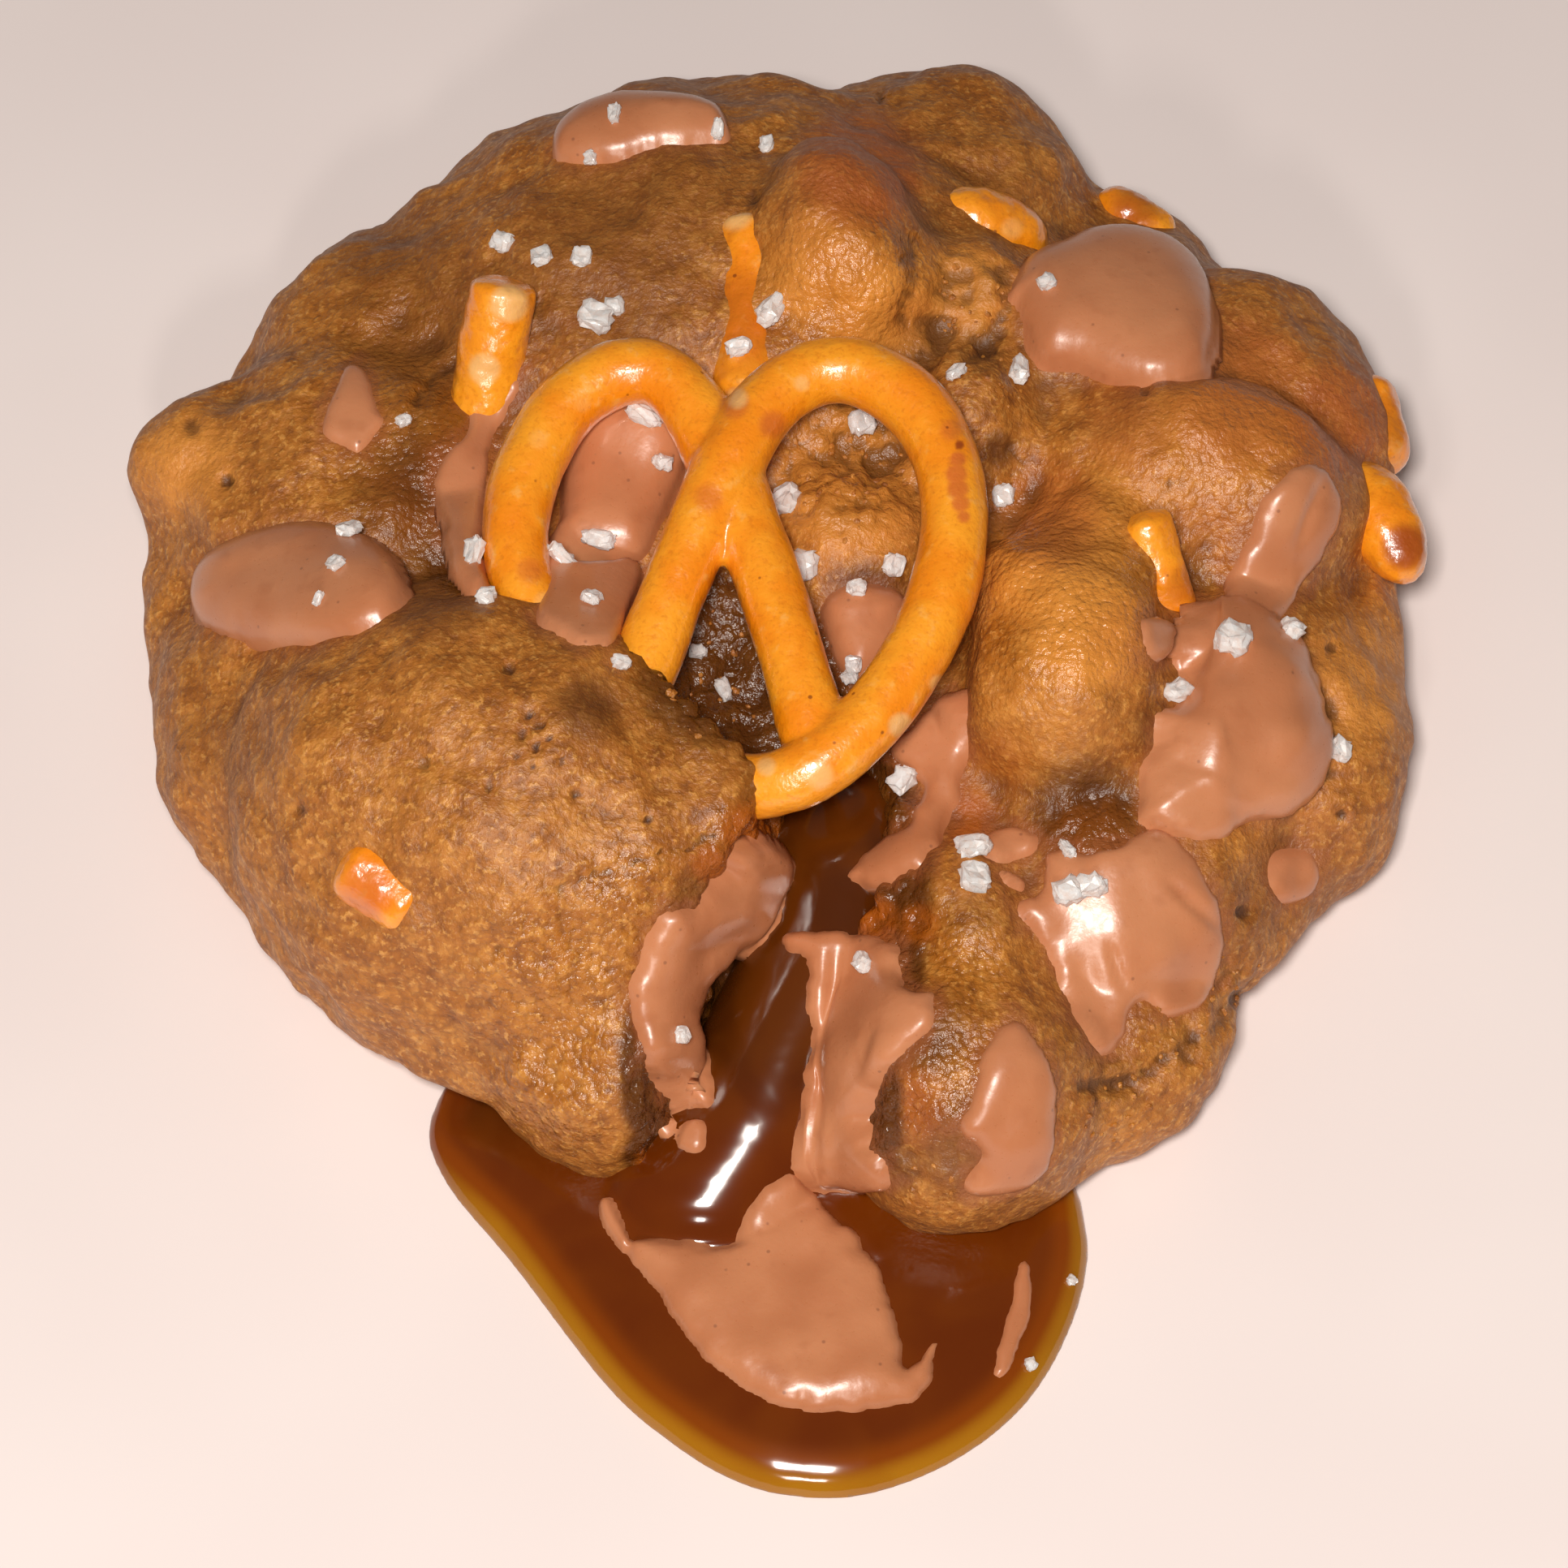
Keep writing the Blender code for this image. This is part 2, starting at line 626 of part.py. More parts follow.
def salt(nodes, collection):
    """Fuses the salt crystals to what they were baked on, clear of every other piece."""
    draw = random.Random(SEED)
    for name, spots in SALT.items():
        host = nodes[name]
        surface = tree_of(host)
        others = tree_of(*[obj for obj in nodes.values() if obj is not host])
        grains = new_collection("salt on " + name)
        for u, v in spots:
            point, normal = on_crust(surface, u, v)
            bm = bmesh.new()
            grain(bm, point, normal, draw)
            crystal = to_object(bm, "grain", grains)
            if tree_of(crystal).overlap(others):
                bpy.data.objects.remove(crystal)
        join = host.modifiers.new("Salt", "BOOLEAN")
        join.operation = "UNION"
        join.solver = "MANIFOLD"
        join.operand_type = "COLLECTION"
        join.collection = grains
        bake(host)
        for crystal in list(grains.objects):
            bpy.data.objects.remove(crystal)
        bpy.data.collections.remove(grains)


def paint(obj, kind):
    colour, roughness = FINISHES[kind]
    material = bpy.data.materials.get(kind) or bpy.data.materials.new(kind)
    material.use_nodes = True
    shader = material.node_tree.nodes["Principled BSDF"]
    shader.inputs["Base Color"].default_value = colour
    shader.inputs["Roughness"].default_value = roughness
    obj.data.materials.clear()
    obj.data.materials.append(material)


def to_metres(obj):
    obj.data.transform(Matrix.Scale(MM, 4))
    obj.data.shade_smooth()
    obj.data.set_sharp_from_angle(angle=math.radians(50))


def main():
    clear_scene()
    cookie = new_collection("caramel_pretzel_cookie")
    cutters = new_collection("cutters")
    body = dough(cookie)
    filling = caramel(cookie)
    twist = pretzel_twist(cookie)
    crust = tree_of(body, filling)
    bits = pretzel_bits(crust, cookie)
    discs = chocolate_discs(crust, cookie)
    films = smears(crust, cookie)
    for disc in discs:
        carve(disc, [twist, *bits], cutters)
    for film in films:
        carve(film, [twist, *bits, *discs], cutters)
    carve(filling, [twist, *bits, *discs, *films], cutters)
    thin_out(filling, CARVED_CARAMEL_FACES)
    toppings = [twist, *bits, *discs, *films, filling]
    carve(body, toppings, cutters)
    thin_out(body, CARVED_DOUGH_FACES)
    carve(body, [piece for piece in toppings if touches(body, piece)], cutters)
    nodes = {obj.name: obj for obj in (body, *toppings)}
    salt(nodes, cookie)
    for name, obj in nodes.items():
        paint(obj, name.split("_")[0])
        to_metres(obj)


main()
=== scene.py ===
# %% [markdown]
# # A caramel pretzel cookie
# A thick, soft-baked cookie lies on a pale floor. It was torn open at the front, so its caramel
# filling ran out into a glossy pool. A mini pretzel, milk chocolate, broken pretzel pieces and
# coarse salt were baked on top. This notebook shapes and colours each of them. It starts from a
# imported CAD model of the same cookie, and each new piece takes the place of one of its solids.

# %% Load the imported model
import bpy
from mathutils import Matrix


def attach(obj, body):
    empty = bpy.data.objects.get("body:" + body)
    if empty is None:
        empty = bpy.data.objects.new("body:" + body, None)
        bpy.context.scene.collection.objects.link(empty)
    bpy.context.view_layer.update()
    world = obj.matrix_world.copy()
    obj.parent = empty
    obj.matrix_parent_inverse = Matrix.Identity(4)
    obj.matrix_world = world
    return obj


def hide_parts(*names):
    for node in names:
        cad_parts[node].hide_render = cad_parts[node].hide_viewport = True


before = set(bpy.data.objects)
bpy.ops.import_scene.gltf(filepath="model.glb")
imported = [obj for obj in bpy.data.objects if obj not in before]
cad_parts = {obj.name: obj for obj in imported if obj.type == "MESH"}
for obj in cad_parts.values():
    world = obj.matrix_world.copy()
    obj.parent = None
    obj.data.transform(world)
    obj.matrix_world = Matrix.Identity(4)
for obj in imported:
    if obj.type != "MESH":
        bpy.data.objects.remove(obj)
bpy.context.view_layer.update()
print("solids in the packed model:", len(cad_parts))

# %% What Blender and Python lend
import math
import random

import bmesh
import bpy
import numpy as np
from mathutils import Matrix, Vector, noise
from mathutils.bvhtree import BVHTree

MM = 0.001
print("Blender", bpy.app.version_string)

# %% [markdown]
# ## The eye
# Nearly everything on the crust is placed by where it is seen. The eye stands in front of the tear
# and looks down at 58 degrees. A place is given as (u, v): millimetres to the right and up, on a
# plane square to the line of sight. A sight line through (u, v) then finds the spot on the crust.
# The camera stands at the same point, so what is placed this way shows where it was meant to.

# %% Set up the eye and the camera
EYE_TILT = math.radians(58)
EYE_DISTANCE = 450
LOOK_AT = Vector((0.6, -9.9, 0))
VIEW_WIDTH = 107.3

SINE, COSINE = math.sin(EYE_TILT), math.cos(EYE_TILT)
EYE = LOOK_AT + Vector((0, -COSINE, SINE)) * EYE_DISTANCE
SIDEWAYS, UPWARDS = Vector((1, 0, 0)), Vector((0, SINE, COSINE))
FORWARDS = Vector((0, COSINE, -SINE))

lens = bpy.data.cameras.new("eye")
lens.sensor_width = 36
lens.lens = lens.sensor_width * EYE_DISTANCE / VIEW_WIDTH
lens.clip_start = 0.01
camera = bpy.data.objects.new("eye", lens)
camera.location = EYE * MM
camera.rotation_euler = (math.pi / 2 - EYE_TILT, 0, 0)
bpy.context.scene.collection.objects.link(camera)
bpy.context.scene.camera = camera
print("focal length in mm:", round(lens.lens, 1))


# %% Sight lines there and back
def sight_line(u, v):
    """The direction in which the eye sees (u, v)."""
    return (LOOK_AT + SIDEWAYS * u + UPWARDS * v - EYE).normalized()


def on_crust(tree, u, v):
    """The point and the outward normal of the surface that the eye sees at (u, v)."""
    direction = sight_line(u, v)
    point, normal, _, _ = tree.ray_cast(EYE, direction)
    if point is None:
        point, normal, _, _ = tree.find_nearest(EYE + direction * EYE_DISTANCE)
    return point, normal


def seen_at(points):
    """The (u, v) of many points at once."""
    away = points - np.array(EYE)
    scale = EYE_DISTANCE / (away @ np.array(FORWARDS))
    return np.stack(((away @ np.array(SIDEWAYS)) * scale, (away @ np.array(UPWARDS)) * scale), 1)


print("the middle is seen at", seen_at(np.array([LOOK_AT]))[0].round(3))

# %% [markdown]
# ## A few hand tools
# The same small steps come back for every piece: keep what the modifiers made, melt overlapping
# balls into one skin, read and store values on the points. Shaping is done in millimetres. A
# finished piece is brought to metres once, so its object stays unturned and unscaled.


# %% Meshes and modifiers
def new_object(name, mesh):
    thing = bpy.data.objects.new(name, mesh)
    bpy.context.scene.collection.objects.link(thing)
    return thing


def made_mesh(thing):
    """A new mesh of what the object's modifiers make."""
    graph = bpy.context.evaluated_depsgraph_get()
    made = thing.evaluated_get(graph)
    return bpy.data.meshes.new_from_object(made, preserve_all_data_layers=True, depsgraph=graph)


def keep_result(thing):
    """Puts what the modifiers make into the object's own mesh."""
    mesh = made_mesh(thing)
    thing.modifiers.clear()
    thing.data = mesh
    return thing


def melt(thing, voxel, softening):
    """Fuses overlapping closed shapes into one skin and rounds the creases between them."""
    remesh = thing.modifiers.new("Melt", "REMESH")
    remesh.mode = "VOXEL"
    remesh.voxel_size = voxel
    soften = thing.modifiers.new("Soften", "SMOOTH")
    soften.factor = 0.5
    soften.iterations = softening
    return keep_result(thing)


def search_tree(*things):
    """One search tree of the surfaces of several objects."""
    bm = bmesh.new()
    for thing in things:
        bm.from_mesh(thing.data)
    tree = BVHTree.FromBMesh(bm)
    bm.free()
    return tree


# %% Values on the points of a mesh
def points_of(thing):
    flat = np.empty(len(thing.data.vertices) * 3)
    thing.data.vertices.foreach_get("co", flat)
    return flat.reshape(-1, 3)


def normals_of(thing):
    flat = np.empty(len(thing.data.vertices) * 3)
    thing.data.vertex_normals.foreach_get("vector", flat)
    return flat.reshape(-1, 3)


def move_points(thing, points):
    thing.data.vertices.foreach_set("co", points.ravel())
    thing.data.update()


def store(thing, name, values):
    """Keeps one number for each point, for a material to read."""
    layer = thing.data.attributes.get(name) or thing.data.attributes.new(name, "FLOAT", "POINT")
    layer.data.foreach_set("value", np.asarray(values, np.float32))


def ramp(values, start, end):
    """0 before start, 1 after end, and smooth between them."""
    share = np.clip((np.asarray(values, float) - start) / (end - start), 0, 1)
    return share * share * (3 - 2 * share)


def off_segment(spots, start, end):
    """How far each spot lies along a straight segment, from 0 to 1, and how far off it."""
    along = np.array(end) - start
    share = np.clip((spots - start) @ along / (along @ along), 0, 1)
    return share, np.linalg.norm(start + share[:, None] * along - spots, axis=1)


print("a smooth step:", ramp([0, 0.25, 0.5, 1], 0, 1).round(2))


# %% A smooth closed curve
def closed_curve(corners, steps):
    """Points on a smooth closed curve through the given ones."""
    made = []
    count = len(corners)
    for i in range(count):
        before, start, end, after = (Vector(corners[(i + k) % count]) for k in (-1, 0, 1, 2))
        for step in range(steps):
            t = step / steps
            made.append(0.5 * (
                2 * start + (end - before) * t + (2 * before - 5 * start + 4 * end - after) * t * t
                + (3 * start - before - 3 * end + after) * t ** 3
            ))
    return made


print("a square rounded to", len(closed_curve(((0, 0), (1, 0), (1, 1), (0, 1)), 8)), "points")


# %% Node trees
def feed(node, inputs):
    """Links a node's inputs to other nodes' outputs, or sets them to plain values."""
    for name, value in inputs.items():
        if isinstance(value, bpy.types.Node):
            value = value.outputs[0]
        if isinstance(value, bpy.types.NodeSocket):
            node.id_data.links.new(value, node.inputs[name])
        else:
            node.inputs[name].default_value = value


def add(tree, kind, inputs=None, **settings):
    """Adds a node with its settings and its inputs."""
    node = tree.nodes.new(kind)
    for name, value in settings.items():
        setattr(node, name, value)
    feed(node, inputs or {})
    return node


def shaping_tree(name, sockets):
    """A new Geometry Nodes tree with named inputs, and the outputs of its input node."""
    tree = bpy.data.node_groups.new(name, "GeometryNodeTree")
    for label, kind in sockets.items():
        tree.interface.new_socket(label, in_out="INPUT", socket_type="NodeSocket" + kind)
    tree.interface.new_socket("Geometry", in_out="OUTPUT", socket_type="NodeSocketGeometry")
    return tree, add(tree, "NodeGroupInput").outputs


def run_tree(thing, tree, values):
    """Puts a tree on an object, with its inputs set by identifier."""
    modifier = thing.modifiers.new(tree.name, "NODES")
    modifier.node_group = tree
    for item in tree.interface.items_tree:
        label = item.name.lower().replace(" ", "_")
        if item.in_out == "INPUT" and label in values:
            modifier[item.identifier] = values[label]


def shape_with(thing, tree, **values):
    """Runs a tree on an object and keeps the result."""
    run_tree(thing, tree, values)
    return keep_result(thing)


print("node trees so far:", len(bpy.data.node_groups))

# %% [markdown]
# ## Setting shapes down
# Balls of dough, crumbs and salt crystals all repeat a small shape at many spots. Geometry Nodes
# does this well: each spot is a loose point that carries which way is up, how far the copy is
# turned, and its size. The tree puts a copy on each point and makes it real.

# %% The tree that sets shapes down
setting, given = shaping_tree(
    "Set shapes down",
    {"Geometry": "Geometry", "Shapes": "Collection", "Seed": "Int", "Finish": "Material"},
)
up = add(setting, "GeometryNodeInputNamedAttribute", {"Name": "up"}, data_type="FLOAT_VECTOR")
turn = add(setting, "GeometryNodeInputNamedAttribute", {"Name": "turn"}, data_type="FLOAT")
size = add(setting, "GeometryNodeInputNamedAttribute", {"Name": "size"}, data_type="FLOAT_VECTOR")
upright = add(setting, "FunctionNodeAlignRotationToVector", {"Vector": up}, axis="Z")
spin = add(setting, "ShaderNodeCombineXYZ", {"Z": turn})
spin = add(setting, "FunctionNodeEulerToRotation", {"Euler": spin})
turned = add(
    setting, "FunctionNodeRotateRotation",
    {"Rotation": upright, "Rotate By": spin}, rotation_space="LOCAL",
)
shapes = add(
    setting, "GeometryNodeCollectionInfo",
    {"Collection": given["Shapes"], "Separate Children": True, "Reset Children": True},
)
choice = add(
    setting, "FunctionNodeRandomValue", {4: 0, 5: 9, "Seed": given["Seed"]}, data_type="INT"
)
copies = add(
    setting, "GeometryNodeInstanceOnPoints",
    {"Points": given["Geometry"], "Instance": shapes, "Pick Instance": True,
     "Instance Index": choice.outputs[2], "Rotation": turned, "Scale": size},
)
real = add(setting, "GeometryNodeRealizeInstances", {"Geometry": copies})
dressed = add(setting, "GeometryNodeSetMaterial", {"Geometry": real, "Material": given["Finish"]})
add(setting, "NodeGroupOutput", {"Geometry": dressed})
print("nodes in the tree:", len(setting.nodes))


# %% Spots and shapes
def shape_box(name, *bmeshes):
    """A collection that holds the shapes to choose from."""
    box = bpy.data.collections.new(name)
    for i, bm in enumerate(bmeshes):
        mesh = bpy.data.meshes.new(f"{name}_{i}")
        bm.to_mesh(mesh)
        bm.free()
        box.objects.link(bpy.data.objects.new(mesh.name, mesh))
    return box


def set_down(name, box, spots, seed=0, finish=None):
    """Copies of the box's shapes as one mesh. A spot is (point, up, turn, size)."""
    mesh = bpy.data.meshes.new(name)
    mesh.from_pydata([tuple(spot[0]) for spot in spots], [], [])
    thing = new_object(name, mesh)
    columns = (("up", "FLOAT_VECTOR"), ("turn", "FLOAT"), ("size", "FLOAT_VECTOR"))
    for column, (label, kind) in enumerate(columns, 1):
        layer = mesh.attributes.new(label, kind, "POINT")
        values = np.array([spot[column] for spot in spots], np.float32).ravel()
        layer.data.foreach_set("value" if kind == "FLOAT" else "vector", values)
    return shape_with(thing, setting, shapes=box, seed=seed, finish=finish)


def ball(fineness):
    bm = bmesh.new()
    bmesh.ops.create_icosphere(bm, subdivisions=fineness, radius=1)
    return bm


UP = Vector((0, 0, 1))
fine_ball = shape_box("fine_ball", ball(4))
plain_ball = shape_box("plain_ball", ball(3))

# %% [markdown]
# ## The dough
# A stuffed cookie is baked from a pile of dough scoops that spread and run together, so it keeps
# deep soft lumps with creases between them. A subdivision cage would need every lump modelled by
# hand. Here each lump is a squashed ball, all are melted into one skin, and the tear is cut out of
# it with a second string of balls. Melting again rounds the cut's edges, as warm dough sags.

# %% Lumps of dough: centre, radii, turn in degrees
LUMPS = {
    "core slab": ((0, 0.5, 5.5), (43.4, 43, 11), 0),
    "front left lobe": ((-17.5, -19.5, 9), (20, 16.5, 17), -25),
    "lobe nose": ((-5.0, -22.4, 13.2), (7.8, 7, 9.8), -25),
    "lobe toe": ((-10.5, -33.5, 5.5), (9, 9, 8.5), 0),
    "left flank": ((-30, -8, 6), (12.3, 14, 9.5), 0),
    "front right lobe": ((12.5, -37, 6.5), (9.5, 9.8, 10), 0),
    "front right ridge": ((12.5, -29, 9), (5.5, 8, 8.5), 15),
    "right apron": ((21.5, -22.5, 6), (14, 11.5, 10.5), 35),
    "right toe": ((20.5, -32, 4.5), (11, 9.2, 7), 35),
    "right rim": ((33.6, -8, 5.5), (9, 14.5, 9), 8),
    "right seat": ((28, -12, 8), (10, 11, 10), 0),
    "right lump": ((19.0, -10.8, 14.3), (7.2, 10.8, 10.5), 4),
    "root of the right lump": ((21.5, -3.5, 13), (6.5, 7, 8.2), -20),
    "right shoulder": ((28, 5, 11.5), (12.5, 8.5, 10.5), -8),
    "right upper rim": ((33, 15, 7.5), (9.5, 12, 9), 25),
    "disc seat": ((22, 14.5, 9.5), (12, 10, 10.5), 0),
    "crown lump": ((4.4, 20, 17.5), (6.6, 9.3, 10), 8),
    "crumb lump": ((13.2, 18.5, 14.5), (5, 6.5, 6.5), 0),
    "back slope": ((-4, 20, 7), (26.5, 22.5, 15.5), 0),
    "back corner": ((11, 30.5, 7), (12, 14.5, 10), 0),
    "back right rim": ((24, 21.5, 5.5), (10, 10, 8.5), 0),
    "back left rim": ((-25, 19.5, 6), (12, 11.6, 10.5), 0),
    "left plateau": ((-27, 6, 7), (15, 15, 11.5), 0),
    "left knob": ((-39, 9.5, 9), (5.2, 6, 6.5), 0),
    "lump in the right loop": ((5, -1, 12.5), (7, 6.5, 8), 0),
    "small lump": ((13, 8.5, 14.5), (5, 6, 7.5), 0),
    "seat under the left loop": ((-11, 0, 9.5), (9, 8, 8), 0),
}
COARSE_VOXEL = 0.9
CRUST_VOXEL = 0.42
# As much rounding at the fine voxel as five rounds give at the coarse one
CRUST_SOFTENING = 20

lump_spots = [(centre, UP, math.radians(turn), radii) for centre, radii, turn in LUMPS.values()]
crust = melt(set_down("crust", fine_ball, lump_spots), COARSE_VOXEL, 2)
print("skin of the lumps:", len(crust.data.polygons), "faces")

# %% The tear: spheres along its narrow bottom and its wide mouth
TEAR_BOTTOM = (
    ((3, -18, 16), 4.6), ((4.4, -22.5, 13), 3.4), ((0.5, -28, 9), 3.9),
    ((-1.3, -33.5, 6), 3.9), ((-2.6, -40, 5), 4.4), ((-3, -47, 5), 7),
)
TEAR_MOUTH = (
    ((-4, -10.5, 19.5), 6.2), ((2, -16, 19), 6.2), ((5.4, -21, 20), 5.6), ((3.4, -27, 18.5), 5.6),
    ((1, -33, 16.5), 7.4), ((-1, -39, 13), 7.6), ((-1, -47, 12), 8),
)

tear_spots = []
for line in (TEAR_BOTTOM, TEAR_MOUTH):
    for (start, first), (end, last) in zip(line, line[1:]):
        for share in (0, 0.33, 0.67, 1):
            radius = first + (last - first) * share
            tear_spots.append((Vector(start).lerp(Vector(end), share), UP, 0, (radius,) * 3))
tear = melt(set_down("tear", plain_ball, tear_spots), COARSE_VOXEL, 2)
cut = crust.modifiers.new("Tear", "BOOLEAN")
cut.operation = "DIFFERENCE"
cut.solver = "MANIFOLD"
cut.object = tear
keep_result(crust)
bpy.data.objects.remove(tear)
melt(crust, CRUST_VOXEL, CRUST_SOFTENING)
print("torn skin:", len(crust.data.polygons), "faces")

# %% [markdown]
# ## Waves, grain and crumb
# Baked dough is never smooth: it has low waves and a sugary grain, and where it was torn it shows
# the round crumbs inside. One Geometry Nodes tree pushes points along their normals by noise of
# two sizes, and by a pattern of round cells where a point is marked as torn. It serves the pretzel
# too, with gentler numbers.

# %% The tree that roughens a surface
relief, given = shaping_tree(
    "Relief",
    {"Geometry": "Geometry", "Wave height": "Float", "Wave size": "Float", "Grain height": "Float",
     "Grain size": "Float", "Crumb height": "Float", "Crumb size": "Float", "Seed": "Float"},
)
crumb_scale = add(relief, "ShaderNodeMath", {0: 1.0, 1: given["Crumb size"]}, operation="DIVIDE")
cells = add(
    relief, "ShaderNodeTexVoronoi", {"Scale": crumb_scale, "W": given["Seed"]},
    voronoi_dimensions="4D",
)
# 0.9 in the middle of a crumb, below 0 in the cracks between crumbs
crumb = add(relief, "ShaderNodeMath", {0: cells, 1: -2.2, 2: 0.9}, operation="MULTIPLY_ADD")
crumb = add(relief, "ShaderNodeMath", {0: crumb, 1: given["Crumb height"]}, operation="MULTIPLY")
torn_mark = add(relief, "GeometryNodeInputNamedAttribute", {"Name": "torn"}, data_type="FLOAT")
total = add(relief, "ShaderNodeMath", {0: crumb, 1: torn_mark}, operation="MULTIPLY")
for kind, detail in (("Wave", 1.5), ("Grain", 1.0)):
    scale = add(relief, "ShaderNodeMath", {0: 1.0, 1: given[kind + " size"]}, operation="DIVIDE")
    field = add(
        relief, "ShaderNodeTexNoise",
        {"Scale": scale, "W": given["Seed"], "Detail": detail}, noise_dimensions="4D",
    )
    height = add(relief, "ShaderNodeMath", {0: field, 1: 2.0, 2: -1.0}, operation="MULTIPLY_ADD")
    total = add(
        relief, "ShaderNodeMath",
        {0: height, 1: given[kind + " height"], 2: total}, operation="MULTIPLY_ADD",
    )
place = add(relief, "GeometryNodeInputPosition")
low = add(relief, "ShaderNodeSeparateXYZ", {0: place})
fade = add(
    relief, "ShaderNodeMapRange", {"Value": low.outputs["Z"], "From Min": 0.1, "From Max": 1.2},
    interpolation_type="SMOOTHSTEP",
)
total = add(relief, "ShaderNodeMath", {0: total, 1: fade}, operation="MULTIPLY")
outwards = add(relief, "GeometryNodeInputNormal")
push = add(
    relief, "ShaderNodeVectorMath", {0: outwards, "Scale": total}, operation="SCALE"
)
pushed = add(relief, "GeometryNodeSetPosition", {"Geometry": given["Geometry"], "Offset": push})
add(relief, "NodeGroupOutput", {"Geometry": pushed})
print("nodes in the tree:", len(relief.nodes))

# %% [markdown]
# ## The hollows of a surface
# Creases and pores are darkened with painted shade, so they must be found. To find them, the
# positions are averaged over their neighbours many times. Where the average lies outside the
# surface the place is a hollow, and the distance between the two says how deep it is.

# %% The tree that measures hollows
hollows, given = shaping_tree(
    "Hollows", {"Geometry": "Geometry", "Rounds": "Int", "Name": "String"}
)
place = add(hollows, "GeometryNodeInputPosition")
average = add(
    hollows, "GeometryNodeBlurAttribute", {"Value": place, "Iterations": given["Rounds"]},
    data_type="FLOAT_VECTOR",
)
offset = add(
    hollows, "ShaderNodeVectorMath", {0: average, 1: place}, operation="SUBTRACT"
)
outwards = add(hollows, "GeometryNodeInputNormal")
depth = add(
    hollows, "ShaderNodeVectorMath", {0: offset, 1: outwards},
    operation="DOT_PRODUCT",
)
kept = add(
    hollows, "GeometryNodeStoreNamedAttribute",
    {"Geometry": given["Geometry"], "Name": given["Name"], "Value": depth.outputs["Value"]},
    data_type="FLOAT", domain="POINT",
)
add(hollows, "NodeGroupOutput", {"Geometry": kept})
print("nodes in the tree:", len(hollows.nodes))

# %% [markdown]
# ## The caramel
# Warm caramel is thick: it fills the tear, slides out over its lip and spreads on the table into
# a pool with a round rim. The filling is a string of squashed balls down the tear, set so close
# that no ripple is left between them. The pool is built from rings that run in from its outline
# while they rise. Melting the two together gives one flowing skin.

# %% The pool's outline on the table
POOL_OUTLINE = (
    (-19, -31), (-22.9, -36), (-21.8, -40.8), (-17.2, -47), (-11, -55.8), (-6.8, -59.9),
    (-2.8, -62.6), (1.2, -63.8), (6.2, -63.6), (12, -61), (16.7, -56.6), (19.8, -50.2),
    (20.5, -44.5), (18.5, -39), (10, -33), (-6, -30),
)
POOL_HEIGHT = 2.6
pool_edge = closed_curve([(x, y, 0) for x, y in POOL_OUTLINE], 8)
pool_middle = sum(pool_edge, Vector()) / len(pool_edge)
print("pool outline:", len(pool_edge), "points")

# %% Raise the pool and melt it into the filling: the filling's middles and radii
FILLING = (
    ((5, -21, 8), (6.5, 7.5, 5.5)), ((4, -27, 6.5), (5.5, 6, 5.2)), ((1, -32, 5), (5.2, 6, 4.6)),
    ((-1, -37, 3.6), (5.8, 5.5, 4)), ((-4.5, -42, 1.8), (6.5, 5, 3.4)),
)
BALLS_BETWEEN = 6
CARAMEL_VOXEL, CARAMEL_SOFTENING = 0.38, 14

bm = bmesh.new()
ring = [bm.verts.new(point - Vector((0, 0, 2))) for point in pool_edge]
bm.faces.new(reversed(ring))
for share in (1.0, 0.985, 0.95, 0.9, 0.8, 0.65, 0.4):
    rise = Vector((0, 0, POOL_HEIGHT * math.sqrt(1 - share ** 4)))
    inner = [bm.verts.new(pool_middle.lerp(point, share) + rise) for point in pool_edge]
    for i, (start, end) in enumerate(zip(ring, inner)):
        bm.faces.new((start, ring[(i + 1) % len(ring)], inner[(i + 1) % len(ring)], end))
    ring = inner
bm.faces.new(ring)
filling_spots = []
for (start, first), (end, last) in zip(FILLING, FILLING[1:]):
    for step in range(BALLS_BETWEEN + 1):
        share = step / BALLS_BETWEEN
        radii = tuple(Vector(first).lerp(Vector(last), share))
        filling_spots.append((Vector(start).lerp(Vector(end), share), UP, 0, radii))
caramel = set_down("runny_caramel", fine_ball, filling_spots)
bm.from_mesh(caramel.data)
bm.to_mesh(caramel.data)
bm.free()
melt(caramel, CARAMEL_VOXEL, CARAMEL_SOFTENING)
print("caramel:", len(caramel.data.polygons), "faces")

# %% [markdown]
# ## Flat undersides
# Both the cookie and its caramel lie on the table, so whatever reaches below it is cut off. The
# cut is closed with one face, which also keeps the underside light.


# %% Cut at the table, and drop loose scraps
def stand_on_table(thing):
    """Cuts off what reaches below the table and closes the cut."""
    bm = bmesh.new()
    bm.from_mesh(thing.data)
    everything = bm.verts[:] + bm.edges[:] + bm.faces[:]
    bmesh.ops.bisect_plane(
        bm, geom=everything, dist=1e-4, plane_co=(0, 0, 0), plane_no=(0, 0, 1), clear_inner=True
    )
    rim = [edge for edge in bm.edges if edge.is_boundary]
    bmesh.ops.holes_fill(bm, edges=rim, sides=0)
    bmesh.ops.recalc_face_normals(bm, faces=bm.faces)
    bm.to_mesh(thing.data)
    bm.free()
    return thing


def keep_largest(thing):
    """Keeps the largest connected part of a mesh."""
    bm = bmesh.new()
    bm.from_mesh(thing.data)
    waiting = set(bm.verts)
    islands = []
    while waiting:
        front = [waiting.pop()]
        island = set(front)
        while front:
            for edge in front.pop().link_edges:
                for vert in edge.verts:
                    if vert in waiting:
                        waiting.discard(vert)
                        island.add(vert)
                        front.append(vert)
        islands.append(island)
    islands.sort(key=len, reverse=True)
    bmesh.ops.delete(bm, geom=[vert for island in islands[1:] for vert in island], context="VERTS")
    bm.to_mesh(thing.data)
    bm.free()
    return thing


